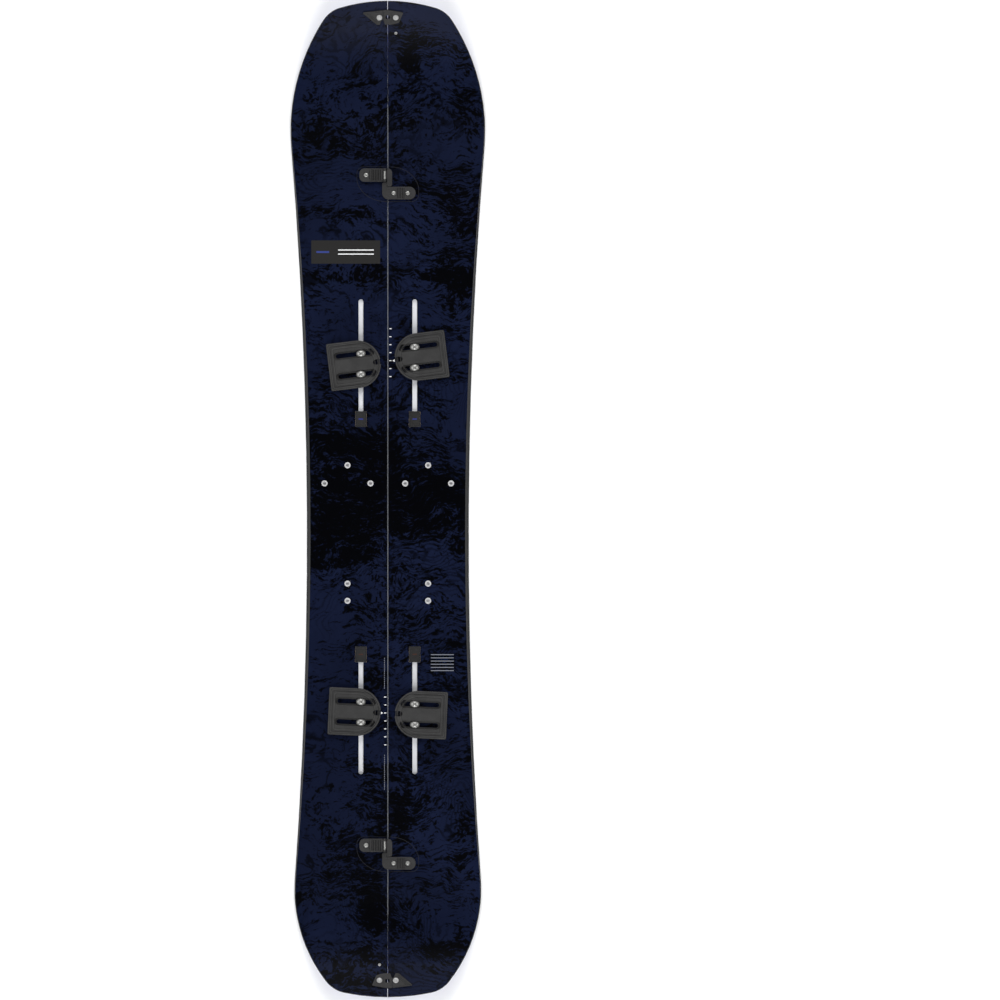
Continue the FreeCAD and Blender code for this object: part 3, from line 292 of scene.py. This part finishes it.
def milled_sidewall(colours):
    """Dense plastic wall with the fine lines that milling leaves along it."""
    finish = Finish("milled_sidewall")
    place = finish.place()
    lines = finish.noise(place.stretched((5.0, 5.0, 4200.0)), 1.0, 2.0)
    cloud = finish.noise(place.stretched((60.0, 8.0, 60.0)), 1.0, 3.0)
    tone = finish.mix(cloud, shaded(colours.sidewall_grey, 0.85),
                      shaded(colours.sidewall_grey, 1.2))
    return finish.set(Base_Color=tone, Roughness=0.48 + 0.2 * (lines - 0.5),
                      Specular_IOR_Level=0.2, Normal=finish.bump(lines, 0.00005, 0.5))


def channel_metal(colours):
    """Pale anodised rail, with painted reflection: brighter at some stretches along its length."""
    finish = Finish("channel_metal")
    place = finish.place()
    along = place.axis(1)
    # A sine wave along the rail mixes a darker and a lighter copy of its colour: painted
    # reflection.
    painted_reflection_wave = finish.node("ShaderNodeMath", {"operation": "SINE"}, {0: along * 46.0})
    draw = finish.noise(place.stretched((900.0, 6.0, 900.0)), 1.0, 3.0)
    tone = finish.mix(0.5 + 0.5 * painted_reflection_wave, shaded(colours.rail_silver, 0.72),
                      opaque(colours.rail_silver))
    return finish.set(Base_Color=tone, Metallic=0.25, Roughness=0.34 + 0.16 * draw,
                      Normal=finish.bump(draw, 0.00003, 0.3))


def wood_core():
    finish = Finish("wood_core")
    place = finish.place()
    growth = finish.noise(place.stretched((160.0, 3.0, 160.0)), 1.0, 5.0, 0.65)
    strip = ((place.axis(0) * 70.0).fraction()).smooth(0.96, 1.0)
    tone = finish.mix(growth, (0.62, 0.44, 0.26, 1.0), (0.78, 0.62, 0.42, 1.0))
    tone = finish.mix(strip, tone, (0.40, 0.27, 0.15, 1.0))
    return finish.set(Base_Color=tone, Roughness=0.55 + 0.15 * growth)


def glass_laminate():
    finish = Finish("glass_laminate")
    place = finish.place()
    cloth = finish.noise(place, 1100.0, 2.0)
    tone = finish.mix(cloth, (0.05, 0.055, 0.05, 1.0), (0.10, 0.105, 0.09, 1.0))
    return finish.set(Base_Color=tone, Roughness=0.4 + 0.15 * cloth)


def printed_ink(name, colour, roughness=0.45):
    """Screen-printed ink, slightly uneven."""
    finish = Finish(name)
    place = finish.place()
    speckle = finish.noise(place, 1700.0, 3.0)
    tone = finish.mix(speckle, shaded(colour, 0.88), shaded(colour, 1.1))
    return finish.set(Base_Color=tone, Roughness=roughness + 0.1 * speckle,
                      Specular_IOR_Level=0.08)


def wear_finish(name, finish_material):
    """Put a finish on a CAD piece, whatever slots it has."""
    piece = frame["nodes"][name]
    if not piece.material_slots:
        piece.data.materials.append(finish_material)
    for material_slot in piece.material_slots:
        material_slot.material = finish_material


# ---------------------------------------------------------------- meshes and curves


def new_piece(name, vertices, edges, faces, material=None):
    mesh = bpy.data.meshes.new(name)
    mesh.from_pydata(vertices, edges, faces)
    mesh.update()
    piece = bpy.data.objects.new(name, mesh)
    bpy.context.scene.collection.objects.link(piece)
    if material:
        mesh.materials.append(material)
    return piece


def prisms(name, outlines, bottom, thickness, material):
    """Flat shapes raised to a small thickness, each given anticlockwise as points in the plane."""
    vertices, faces = [], []
    for outline in outlines:
        count, first = len(outline), len(vertices)
        vertices += [(x, y, bottom) for x, y in outline]
        vertices += [(x, y, bottom + thickness) for x, y in outline]
        faces.append([first + index for index in reversed(range(count))])
        faces.append([first + count + index for index in range(count)])
        for index in range(count):
            after = (index + 1) % count
            faces.append([first + index, first + after, first + count + after,
                          first + count + index])
    return new_piece(name, vertices, [], faces, material)


def bar(centre_x, centre_y, width, height):
    """A rectangle's four corners."""
    return [(centre_x + across * width / 2, centre_y + along * height / 2)
            for across, along in ((-1, -1), (1, -1), (1, 1), (-1, 1))]


def round_bar(centre_x, centre_y, width, height, radius, steps=6):
    """A rectangle with rounded corners."""
    points = []
    for quarter, (across, along) in enumerate(((1, -1), (1, 1), (-1, 1), (-1, -1))):
        for step in range(steps + 1):
            angle = math.radians(-90 + 90 * quarter + 90 * step / steps)
            points.append((centre_x + across * (width / 2 - radius) + radius * math.cos(angle),
                           centre_y + along * (height / 2 - radius) + radius * math.sin(angle)))
    return points


def repeat_tree():
    """Geometry Nodes that repeat a small bar in a row."""
    tree = bpy.data.node_groups.new("repeat_bar", "GeometryNodeTree")
    tree.is_modifier = True
    tree.interface.new_socket("Geometry", in_out="INPUT", socket_type="NodeSocketGeometry")
    for name, kind in (("Count", "NodeSocketInt"), ("Start", "NodeSocketVector"),
                       ("Pitch", "NodeSocketVector"), ("Bar", "NodeSocketVector"),
                       ("Material", "NodeSocketMaterial")):
        tree.interface.new_socket(name, in_out="INPUT", socket_type=kind)
    tree.interface.new_socket("Geometry", in_out="OUTPUT", socket_type="NodeSocketGeometry")
    nodes, links = tree.nodes, tree.links
    given, result = nodes.new("NodeGroupInput"), nodes.new("NodeGroupOutput")
    row = nodes.new("GeometryNodeMeshLine")
    row.mode = "OFFSET"
    cube = nodes.new("GeometryNodeMeshCube")
    placed = nodes.new("GeometryNodeInstanceOnPoints")
    real = nodes.new("GeometryNodeRealizeInstances")
    coat = nodes.new("GeometryNodeSetMaterial")
    links.new(given.outputs["Count"], row.inputs["Count"])
    links.new(given.outputs["Start"], row.inputs["Start Location"])
    links.new(given.outputs["Pitch"], row.inputs["Offset"])
    links.new(given.outputs["Bar"], cube.inputs["Size"])
    links.new(row.outputs["Mesh"], placed.inputs["Points"])
    links.new(cube.outputs["Mesh"], placed.inputs["Instance"])
    links.new(placed.outputs["Instances"], real.inputs["Geometry"])
    links.new(real.outputs["Geometry"], coat.inputs["Geometry"])
    links.new(given.outputs["Material"], coat.inputs["Material"])
    links.new(coat.outputs["Geometry"], result.inputs["Geometry"])
    return tree


def bead_tree():
    """Geometry Nodes that lay a round bead along a chain of edges."""
    tree = bpy.data.node_groups.new("lay_bead", "GeometryNodeTree")
    tree.is_modifier = True
    tree.interface.new_socket("Geometry", in_out="INPUT", socket_type="NodeSocketGeometry")
    for name, kind in (("Radius", "NodeSocketFloat"), ("Sides", "NodeSocketInt"),
                       ("Material", "NodeSocketMaterial")):
        tree.interface.new_socket(name, in_out="INPUT", socket_type=kind)
    tree.interface.new_socket("Geometry", in_out="OUTPUT", socket_type="NodeSocketGeometry")
    nodes, links = tree.nodes, tree.links
    given, result = nodes.new("NodeGroupInput"), nodes.new("NodeGroupOutput")
    path = nodes.new("GeometryNodeMeshToCurve")
    ring = nodes.new("GeometryNodeCurvePrimitiveCircle")
    tube = nodes.new("GeometryNodeCurveToMesh")
    tube.inputs["Fill Caps"].default_value = True
    real = nodes.new("GeometryNodeRealizeInstances")
    coat = nodes.new("GeometryNodeSetMaterial")
    links.new(given.outputs["Geometry"], path.inputs["Mesh"])
    links.new(given.outputs["Radius"], ring.inputs["Radius"])
    links.new(given.outputs["Sides"], ring.inputs["Resolution"])
    links.new(path.outputs["Curve"], tube.inputs["Curve"])
    links.new(ring.outputs["Curve"], tube.inputs["Profile Curve"])
    links.new(tube.outputs["Mesh"], real.inputs["Geometry"])
    links.new(real.outputs["Geometry"], coat.inputs["Geometry"])
    links.new(given.outputs["Material"], coat.inputs["Material"])
    links.new(coat.outputs["Geometry"], result.inputs["Geometry"])
    return tree


def grown(piece, tree, **inputs):
    """Run a tree on a piece and keep the plain mesh that it makes."""
    modifier = piece.modifiers.new(tree.name, "NODES")
    modifier.node_group = tree
    sockets = {item.name: item.identifier for item in tree.interface.items_tree
               if item.item_type == "SOCKET" and item.in_out == "INPUT"}
    for name, value in inputs.items():
        modifier[sockets[name]] = value
    bpy.context.view_layer.update()
    depsgraph = bpy.context.evaluated_depsgraph_get()
    mesh = bpy.data.meshes.new_from_object(piece.evaluated_get(depsgraph))
    piece.modifiers.clear()
    piece.data = mesh
    return piece


def tree_named(name, maker):
    return bpy.data.node_groups.get(name) or maker()


def ladder(name, count, start, pitch, size, material, body):
    """A row of small printed bars that rides on a body."""
    piece = new_piece(name, [(0, 0, 0)], [], [])
    grown(piece, tree_named("repeat_bar", repeat_tree), Count=count, Start=start, Pitch=pitch,
          Bar=size, Material=material)
    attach(piece, body)
    return piece


def bead(name, paths, radius, material, body, closed=False):
    """One or more beads along chains of points, joined in one piece that rides on a body."""
    vertices, edges = [], []
    for path in paths:
        first = len(vertices)
        vertices += [tuple(point) for point in path]
        edges += [(first + step, first + step + 1) for step in range(len(path) - 1)]
        if closed:
            edges.append((first + len(path) - 1, first))
    piece = new_piece(name, vertices, edges, [])
    grown(piece, tree_named("lay_bead", bead_tree), Radius=radius, Sides=10, Material=material)
    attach(piece, body)
    return piece


def deck_line(side):
    """The deck's profile along the seam, tail to nose, read from the topsheet's own edge."""
    seam = -SEAM_GAP if side == "left" else SEAM_GAP
    heights = {}
    for vertex in frame["nodes"][f"{side}_topsheet"].data.vertices:
        if abs(vertex.co.x - seam) < 0.05 * MM:
            along = round(vertex.co.y, 5)
            heights[along] = max(heights.get(along, 0.0), vertex.co.z)
    return sorted(heights.items())


# ---------------------------------------------------------------- settings


def colour_property(name, description, default):
    return bpy.props.FloatVectorProperty(name=name, description=description, default=default,
                                         size=3, subtype="COLOR", min=0.0, max=1.0)


def length_property(name, description, default):
    return bpy.props.FloatProperty(name=name, description=description, default=default,
                                   min=0.0, unit="LENGTH", precision=5)


class BoardColours(bpy.types.PropertyGroup):
    """Colours of the board, its printing and its hardware."""

    deck_navy: colour_property("Deck navy", "Ground colour of the deck", (0.0046, 0.0072, 0.0220))
    deck_black: colour_property("Deck black", "Drawing on the deck", (0.0003, 0.0004, 0.0010))
    base_blue: colour_property("Base blue", "Running base", (0.0015, 0.030, 0.355))
    print_white: colour_property("Print white", "Marks and scale", (0.78, 0.79, 0.80))
    panel_blue: colour_property("Panel blue", "Bar on the name panel", (0.030, 0.045, 0.185))
    panel_grey: colour_property("Panel grey", "Name panel on the deck", (0.0165, 0.0160, 0.0158))
    sidewall_grey: colour_property("Sidewall grey", "Milled sidewall", (0.024, 0.024, 0.025))
    rail_silver: colour_property("Rail silver", "Binding channels", (0.76, 0.77, 0.80))
    puck_grey: colour_property("Puck grey", "Binding pucks", (0.0260, 0.0258, 0.0260))
    clip_grey: colour_property("Clip grey", "Clips and tip plates", (0.0215, 0.0212, 0.0220))
    mark_blue: colour_property("Mark blue", "Bar on the front channel covers",
                               (0.026, 0.034, 0.16))
    mark_brown: colour_property("Mark brown", "Bar on the rear channel covers",
                                (0.040, 0.020, 0.015))


class PrintSizes(bpy.types.PropertyGroup):
    """Sizes of the printed marks and of the small mouldings."""

    ink: length_property("Ink", "Height of a printed layer", 0.00006)
    seam_bead: length_property("Seam bead", "Radius of the sealed edge along the seam", 0.00021)
    mark_pitch: length_property("Mark pitch", "Distance between stance marks", 0.0125)
    mark_length: length_property("Mark length", "Length of a stance mark", 0.0034)
    mark_width: length_property("Mark width", "Width of a stance mark", 0.0012)
    outline: length_property("Outline", "Radius of the line round each clip", 0.00045)
    rib: length_property("Rib", "Radius of the ribs on a puck", 0.00038)


class StudioSettings(bpy.types.PropertyGroup):
    """Camera and light."""

    lens: bpy.props.FloatProperty(name="Lens", description="Focal length in millimetres",
                                  default=450.0, min=1.0)
    field: length_property("Field", "Width of the board's plane that the camera takes in", 1.5684)
    key_power: bpy.props.FloatProperty(name="Key", description="Power of each end light",
                                       default=98.0, min=0.0, unit="POWER")
    fill_power: bpy.props.FloatProperty(name="Fill", description="Power of each side light",
                                        default=34.0, min=0.0, unit="POWER")


# ---------------------------------------------------------------- operators


class SPLITBOARD_OT_laminate(bpy.types.Operator):
    """Finish the deck, base, edges, sidewalls and inner layers of both halves"""

    bl_idname = "splitboard.laminate"
    bl_label = "Finish the laminate"

    def execute(self, context):
        colours = context.scene.board_colours
        # The steel edges' colour is kept near black as painted shade, for the shadow the edges sit
        # in.
        steel = brushed_metal("edge_steel", (0.045, 0.045, 0.048), 0.45, 0.7,
                              (900.0, 30.0, 900.0), 0.0002)
        finishes = {
            "base": sintered_base(colours),
            "topsheet": topsheet_print(colours),
            "outer_edge": steel,
            "inner_edge": steel,
            "glass_layers": glass_laminate(),
            "core": wood_core(),
        }
        wall = milled_sidewall(colours)
        finishes["sidewalls"] = wall
        finishes["tip_spacers"] = wall
        for side in SIDES:
            for layer, finish in finishes.items():
                wear_finish(f"{side}_{layer}", finish)
        return {"FINISHED"}


class SPLITBOARD_OT_hardware(bpy.types.Operator):
    """Finish the channels, inserts, clips, tip plates, pucks, covers and fasteners"""

    bl_idname = "splitboard.hardware"
    bl_label = "Finish the hardware"

    def execute(self, context):
        colours = context.scene.board_colours
        rail = channel_metal(colours)
        fine, grain = (800.0, 800.0, 800.0), (700.0, 700.0, 700.0)
        plated = brushed_metal("plated_insert", (0.66, 0.66, 0.67), 0.36, 0.55, fine)
        bright = brushed_metal("stainless", (0.62, 0.62, 0.62), 0.30, 0.75, grain)
        dull = brushed_metal("zinc_screw", (0.34, 0.34, 0.33), 0.40, 0.75, grain)
        washer = brushed_metal("washer_zinc", (0.13, 0.13, 0.125), 0.42, 0.6, grain)
        tip = brushed_metal("tip_screw_steel", (0.36, 0.36, 0.36), 0.45, 0.6, grain)
        clip = moulded("clip_anodised", colours.clip_grey, 0.46)
        plate = moulded("plate_anodised", colours.clip_grey, 0.50)
        nylon = moulded("puck_nylon", colours.puck_grey, 0.58, 1100.0, 0.00009)
        cover = moulded("cover_plastic", shaded(colours.clip_grey, 0.55), 0.5)
        for side in SIDES:
            wear_finish(f"{side}_channels", rail)
            wear_finish(f"{side}_inserts", plated)
            wear_finish(f"{side}_tip_barrels", bright)
            wear_finish(f"{side}_tip_screws", tip)
            wear_finish(f"{side}_clip_screws", dull)
            for stance in STANCES:
                wear_finish(f"{stance}_{side}_puck", nylon)
                wear_finish(f"{stance}_{side}_screws", dull)
                wear_finish(f"{stance}_{side}_washers", washer)
                wear_finish(f"{stance}_{side}_slot_nuts", bright)
                wear_finish(f"{stance}_{side}_plug", cover)
        for end in ENDS:
            for part in ("base", "hook", "lever", "catch"):
                wear_finish(f"{end}_clip_{part}", clip)
            wear_finish(f"{end}_clip_pin", dull)
            wear_finish(f"{end}_wing_plate", plate)
            wear_finish(f"{end}_hook_plate", plate)
        return {"FINISHED"}


class SPLITBOARD_OT_seam(bpy.types.Operator):
    """Lay the pale sealed edge along the seam of each half"""

    bl_idname = "splitboard.seam"
    bl_label = "Seal the seam"

    def execute(self, context):
        radius = context.scene.print_sizes.seam_bead
        material = printed_ink("seam_sealer", (0.14, 0.15, 0.175))
        for side in SIDES:
            way = -1 if side == "left" else 1
            across = way * (SEAM_GAP + radius * 1.1)
            path = [(across, along, height - radius * 0.6) for along, height in deck_line(side)]
            bead(f"{side}_seam_bead", [path[1:-1]], radius, material, f"{side}_half")
        return {"FINISHED"}


class SPLITBOARD_OT_stance_marks(bpy.types.Operator):
    """Print the stance scale beside the seam, with a pointer at the middle setting"""

    bl_idname = "splitboard.stance_marks"
    bl_label = "Print the stance marks"

    def execute(self, context):
        sizes = context.scene.print_sizes
        white = printed_ink("mark_white", context.scene.board_colours.print_white)
        size = (sizes.mark_length, sizes.mark_width, sizes.ink)
        top = DECK + sizes.ink / 2
        # Middle of each scale along the board, marks before it and marks after it.
        for stance, side, middle, before, after in (("front", "right", 0.2172, 2, 4),
                                                    ("rear", "left", -0.3354, 4, 2)):
            way = 1 if side == "right" else -1
            start = (way * 0.0040, middle - before * sizes.mark_pitch, top)
            ladder(f"{stance}_stance_marks", before + after + 1, start,
                   (0, sizes.mark_pitch, 0), size, white, f"{side}_half")
            tip, wing = way * 0.0072, way * 0.0108
            pointer = [(tip, middle), (wing, middle - 0.0021), (wing, middle + 0.0021)]
            if way < 0:
                pointer.reverse()
            arrow = prisms(f"{stance}_stance_pointer", [pointer], DECK, sizes.ink, white)
            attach(arrow, f"{side}_half")
        return {"FINISHED"}


class SPLITBOARD_OT_name_panel(bpy.types.Operator):
    """Print the name panel and the care notes as plain bars"""

    bl_idname = "splitboard.name_panel"
    bl_label = "Print the panel and notes"

    def execute(self, context):
        colours, ink = context.scene.board_colours, context.scene.print_sizes.ink
        white = printed_ink("note_white", colours.print_white)
        faint = printed_ink("note_grey", (0.16, 0.17, 0.20))
        panel_x, panel_y = -0.066, 0.3875
        panel = prisms("name_panel", [round_bar(panel_x, panel_y, 0.108, 0.0365, 0.0008)],
                       DECK, ink, printed_ink("panel_grey", colours.panel_grey, 0.5))
        accent = prisms("panel_accent", [bar(-0.102, panel_y, 0.020, 0.0030)], DECK + ink, ink,
                        printed_ink("panel_blue", colours.panel_blue))
        rows = [bar(-0.050, panel_y + way * 0.0032, 0.056, 0.0015) for way in (1, -1)]
        notes = prisms("panel_bars", rows, DECK + ink, ink, white)
        care_top, care_pitch = -0.2440, 0.0050
        rows = [bar(0.0855, care_top - care_pitch * row, 0.036, 0.0013) for row in range(6)]
        care = prisms("care_bars", rows, DECK, ink, faint)
        for piece, body in ((panel, "left_half"), (accent, "left_half"), (notes, "left_half"),
                            (care, "right_half")):
            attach(piece, body)
        for name, first, count in (("fore", -0.2500, 15), ("aft", -0.4020, 17)):
            ladder(f"{name}_note_column", count, (-0.0052, first, DECK + ink / 2),
                   (0, -0.0033, 0), (0.0009, 0.0022, ink), faint, "left_half")
        return {"FINISHED"}


class SPLITBOARD_OT_clip_outlines(bpy.types.Operator):
    """Print the leaf-shaped outline round each clip, half on each side of the seam"""

    bl_idname = "splitboard.clip_outlines"
    bl_label = "Outline the clips"

    def execute(self, context):
        radius = context.scene.print_sizes.outline
        line = printed_ink("outline_ink", (0.014, 0.0145, 0.018))
        for end in ENDS:
            low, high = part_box(f"{end}_clip_base")
            middle = (low.y + high.y) / 2 - 0.0141
            for side in SIDES:
                way = 1 if side == "left" else -1
                path = [(-way * x, middle + way * y, DECK - radius * 0.6) for x, y in leaf_side()]
                bead(f"{end}_{side}_outline", [path], radius, line, f"{side}_half")
        return {"FINISHED"}


def leaf_side():
    """Half of a clip's outline, from the seam ahead of the clip round to the seam behind it."""
    top, reach, corner = 0.0272, 0.0485, 0.0110
    points = [(0.0010, top), (reach - corner, top)]
    for step in range(1, 9):
        turn = math.radians(90 - 90 * step / 8)
        points.append((reach - corner + corner * math.cos(turn),
                       top - corner + corner * math.sin(turn)))
    for step in range(1, 25):
        share = step / 24
        swing = math.radians(90 * share)
        points.append((0.0010 + (reach - 0.0010) * math.cos(swing) ** 0.9,
                       0.0080 - (0.0080 + top) * math.sin(swing) ** 1.15))
    return points


class SPLITBOARD_OT_clip_ribs(bpy.types.Operator):
    """Paint shade as dark bars into the valleys between the ribs of each lever and the grooves of
    each catch
    """

    bl_idname = "splitboard.clip_ribs"
    bl_label = "Shade the clips"

    def execute(self, context):
        ink = context.scene.print_sizes.ink
        # Dark bars at the valley floors and groove bottoms are painted shade, for the shade that
        # falls in these recesses.
        dark = printed_ink("clip_valley_painted_shade", shaded(context.scene.board_colours.clip_grey, 0.30))
        pitch = (2.6 * MM, 0, 0)
        # The lever's valleys above the deck, and the catch's grooves below its top.
        valley_level, groove_depth = 7.8 * MM, 0.6 * MM
        for end in ENDS:
            low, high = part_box(f"{end}_clip_lever")
            start = (low.x + 3.3 * MM, (low.y + high.y) / 2, DECK + valley_level + ink / 2)
            ladder(f"{end}_lever_valley_shade", 6, start, pitch, (1.2 * MM, 17.0 * MM, ink), dark,
                   f"{end}_lever")
            low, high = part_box(f"{end}_clip_catch")
            start = (15.1 * MM, low.y + 9.9 * MM, high.z - groove_depth + ink / 2)
            ladder(f"{end}_catch_valley_shade", 5, start, pitch, (0.8 * MM, 16.0 * MM, ink), dark,
                   "right_half")
        return {"FINISHED"}


class SPLITBOARD_OT_puck_ribs(bpy.types.Operator):
    """Raise the ribs that run round the flange and the platform of each puck, lighter as painted
    highlight, with dark beads between them as painted shadow lines
    """

    bl_idname = "splitboard.puck_ribs"
    bl_label = "Rib the pucks"

    def execute(self, context):
        colours = context.scene.board_colours
        radius = context.scene.print_sizes.rib
        pore, depth, corner = 1100.0, 0.00005, 0.0001
        # The ribs' lighter nylon is painted highlight; the darker nylon is painted shadow for the
        # lines between the ribs.
        nylon = moulded("rib_nylon_painted_highlight", shaded(colours.puck_grey, 1.55), 0.5, pore, depth, corner)
        shade = moulded("groove_nylon_painted_shadow", shaded(colours.puck_grey, 0.42), 0.6, pore, depth, corner)
        inward = {joint["child"]: joint["axis"] for joint in frame["joints"]}
        for side in SIDES:
            for stance in STANCES:
                station = f"{stance}_{side}"
                low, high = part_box(f"{station}_washers")
                centre = ((low.x + high.x) / 2, (low.y + high.y) / 2)
                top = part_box(f"{station}_puck")[1].z
                flange = top - 1.6 * MM
                along = inward[f"{station}_puck_body"]
                paths = [
                    puck_path(centre, along, 1.5 * MM, flange - radius * 0.45),
                    puck_path(centre, along, 3.8 * MM, flange - radius * 0.45),
                    puck_path(centre, along, 8.6 * MM, top - radius * 0.45),
                ]
                bead(f"{station}_ribs", paths, radius, nylon, f"{station}_puck_body",
                     closed=True)
                # Dark beads in the grooves between the ribs: painted shadow lines.
                lines = [
                    puck_path(centre, along, 2.6 * MM, flange - radius * 0.75),
                    puck_path(centre, along, 5.2 * MM, flange - radius * 0.75),
                    puck_path(centre, along, 10.2 * MM, top - radius * 0.75),
                ]
                bead(f"{station}_groove_shadows", lines, radius, shade, f"{station}_puck_body",
                     closed=True)
        return {"FINISHED"}


def puck_path(centre, along, inset, height):
    """A closed line inside a puck's outline: square heel with rounded corners, and round toe."""
    half, heel, arc_centre, corner = 37.2 * MM, 50.8 * MM, -6.0 * MM, 2.5 * MM
    reach = half - inset
    local = [(arc_centre + reach * math.cos(turn), reach * math.sin(turn))
             for turn in (math.radians(-90 + 180 * step / 40) for step in range(41))]
    back = -heel + inset
    for way in (1, -1):
        for step in range(5):
            turn = math.radians(90 * step / 4 if way > 0 else 90 - 90 * step / 4)
            local.append((back + corner - corner * math.sin(turn),
                          way * (reach - corner + corner * math.cos(turn))))
    return [(centre[0] + along[0] * u - along[1] * v,
             centre[1] + along[1] * u + along[0] * v, height) for u, v in local]


class SPLITBOARD_OT_cover_marks(bpy.types.Operator):
    """Fit a small coloured bar into the cover of each channel"""

    bl_idname = "splitboard.cover_marks"
    bl_label = "Mark the covers"

    def execute(self, context):
        colours = context.scene.board_colours
        inks = {"front": printed_ink("mark_blue", colours.mark_blue),
                "rear": printed_ink("mark_brown", colours.mark_brown)}
        for side in SIDES:
            for stance in STANCES:
                low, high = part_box(f"{stance}_{side}_plug")
                x, y = (low.x + high.x) / 2, (low.y + high.y) / 2
                recess_floor, thickness = high.z - 0.35 * MM, 0.2 * MM
                mark = prisms(f"{stance}_{side}_cover_mark", [bar(x, y, 7.0 * MM, 2.2 * MM)],
                              recess_floor, thickness, inks[stance])
                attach(mark, f"{stance}_{side}_plug_body")
        return {"FINISHED"}


class SPLITBOARD_OT_stage(bpy.types.Operator):
    """Lay the pale floor and set the lights and the camera"""

    bl_idname = "splitboard.stage"
    bl_label = "Set the stage"

    def execute(self, context):
        studio = context.scene.studio
        floor_reach, floor_level = 8.0, -0.0005
        floor = new_piece("floor", [(x * floor_reach, y * floor_reach, floor_level)
                                    for x, y in ((-1, -1), (1, -1), (1, 1), (-1, 1))],
                          [], [(0, 1, 2, 3)])
        finish = Finish("studio_floor")
        finish.set(Base_Color=(0.88, 0.885, 0.89, 1.0), Roughness=0.9, Specular_IOR_Level=0.0)
        floor.data.materials.append(finish.material)
        self.light("nose_light", (0.0, 2.5, 2.7), 2.4, studio.key_power)
        self.light("tail_light", (0.0, -2.5, 2.7), 2.4, studio.key_power)
        self.light("left_light", (-2.9, 0.0, 2.4), 2.0, studio.fill_power)
        self.light("right_light", (2.9, 0.0, 2.4), 2.0, studio.fill_power)
        world = bpy.data.worlds.new("studio")
        world.use_nodes = True
        sky = world.node_tree.nodes["Background"].inputs
        sky["Color"].default_value = (1.0, 1.0, 1.0, 1.0)
        sky["Strength"].default_value = 0.16
        context.scene.world = world
        context.scene.view_settings.view_transform = "Standard"
        self.camera(context, studio)
        return {"FINISHED"}

    def light(self, name, place, size, power):
        lamp = bpy.data.lights.new(name, "AREA")
        lamp.shape = "SQUARE"
        lamp.size = size
        lamp.energy = power
        holder = bpy.data.objects.new(name, lamp)
        holder.location = place
        holder.rotation_euler = (-Vector(place)).to_track_quat("-Z", "Y").to_euler()
        bpy.context.scene.collection.objects.link(holder)

    def camera(self, context, studio):
        """Straight above the deck, nose up, with the board left of the middle of the frame."""
        lens = bpy.data.cameras.new("camera")
        lens.lens = studio.lens
        lens.clip_end = 60.0
        holder = bpy.data.objects.new("camera", lens)
        height = studio.lens / lens.sensor_width * studio.field
        aside, back = 0.1122 * studio.field, -0.0009 * studio.field
        holder.location = (aside, back, DECK + height)
        context.scene.collection.objects.link(holder)
        context.scene.camera = holder


class SPLITBOARD_PT_panel(bpy.types.Panel):
    """The board's settings and steps"""

    bl_label = "Splitboard"
    bl_idname = "SPLITBOARD_PT_panel"
    bl_space_type = "VIEW_3D"
    bl_region_type = "UI"
    bl_category = "Splitboard"

    def draw(self, context):
        for group in (context.scene.board_colours, context.scene.print_sizes, context.scene.studio):
            box = self.layout.box()
            for name in group.__annotations__:
                box.prop(group, name)
        for step in STEPS:
            self.layout.operator(step.bl_idname)


STEPS = (
    SPLITBOARD_OT_stage,
    SPLITBOARD_OT_laminate,
    SPLITBOARD_OT_hardware,
    SPLITBOARD_OT_seam,
    SPLITBOARD_OT_stance_marks,
    SPLITBOARD_OT_name_panel,
    SPLITBOARD_OT_clip_outlines,
    SPLITBOARD_OT_clip_ribs,
    SPLITBOARD_OT_puck_ribs,
    SPLITBOARD_OT_cover_marks,
)
GROUPS = {"board_colours": BoardColours, "print_sizes": PrintSizes, "studio": StudioSettings}


def register():
    for name, group in GROUPS.items():
        bpy.utils.register_class(group)
        setattr(bpy.types.Scene, name, bpy.props.PointerProperty(type=group))
    for step in STEPS + (SPLITBOARD_PT_panel,):
        bpy.utils.register_class(step)


def unregister():
    for step in reversed(STEPS + (SPLITBOARD_PT_panel,)):
        bpy.utils.unregister_class(step)
    for name, group in GROUPS.items():
        delattr(bpy.types.Scene, name)
        bpy.utils.unregister_class(group)


def main():
    register()
    for step in STEPS:
        family, action = step.bl_idname.split(".")
        getattr(getattr(bpy.ops, family), action)()


if __name__ == "__main__":
    main()
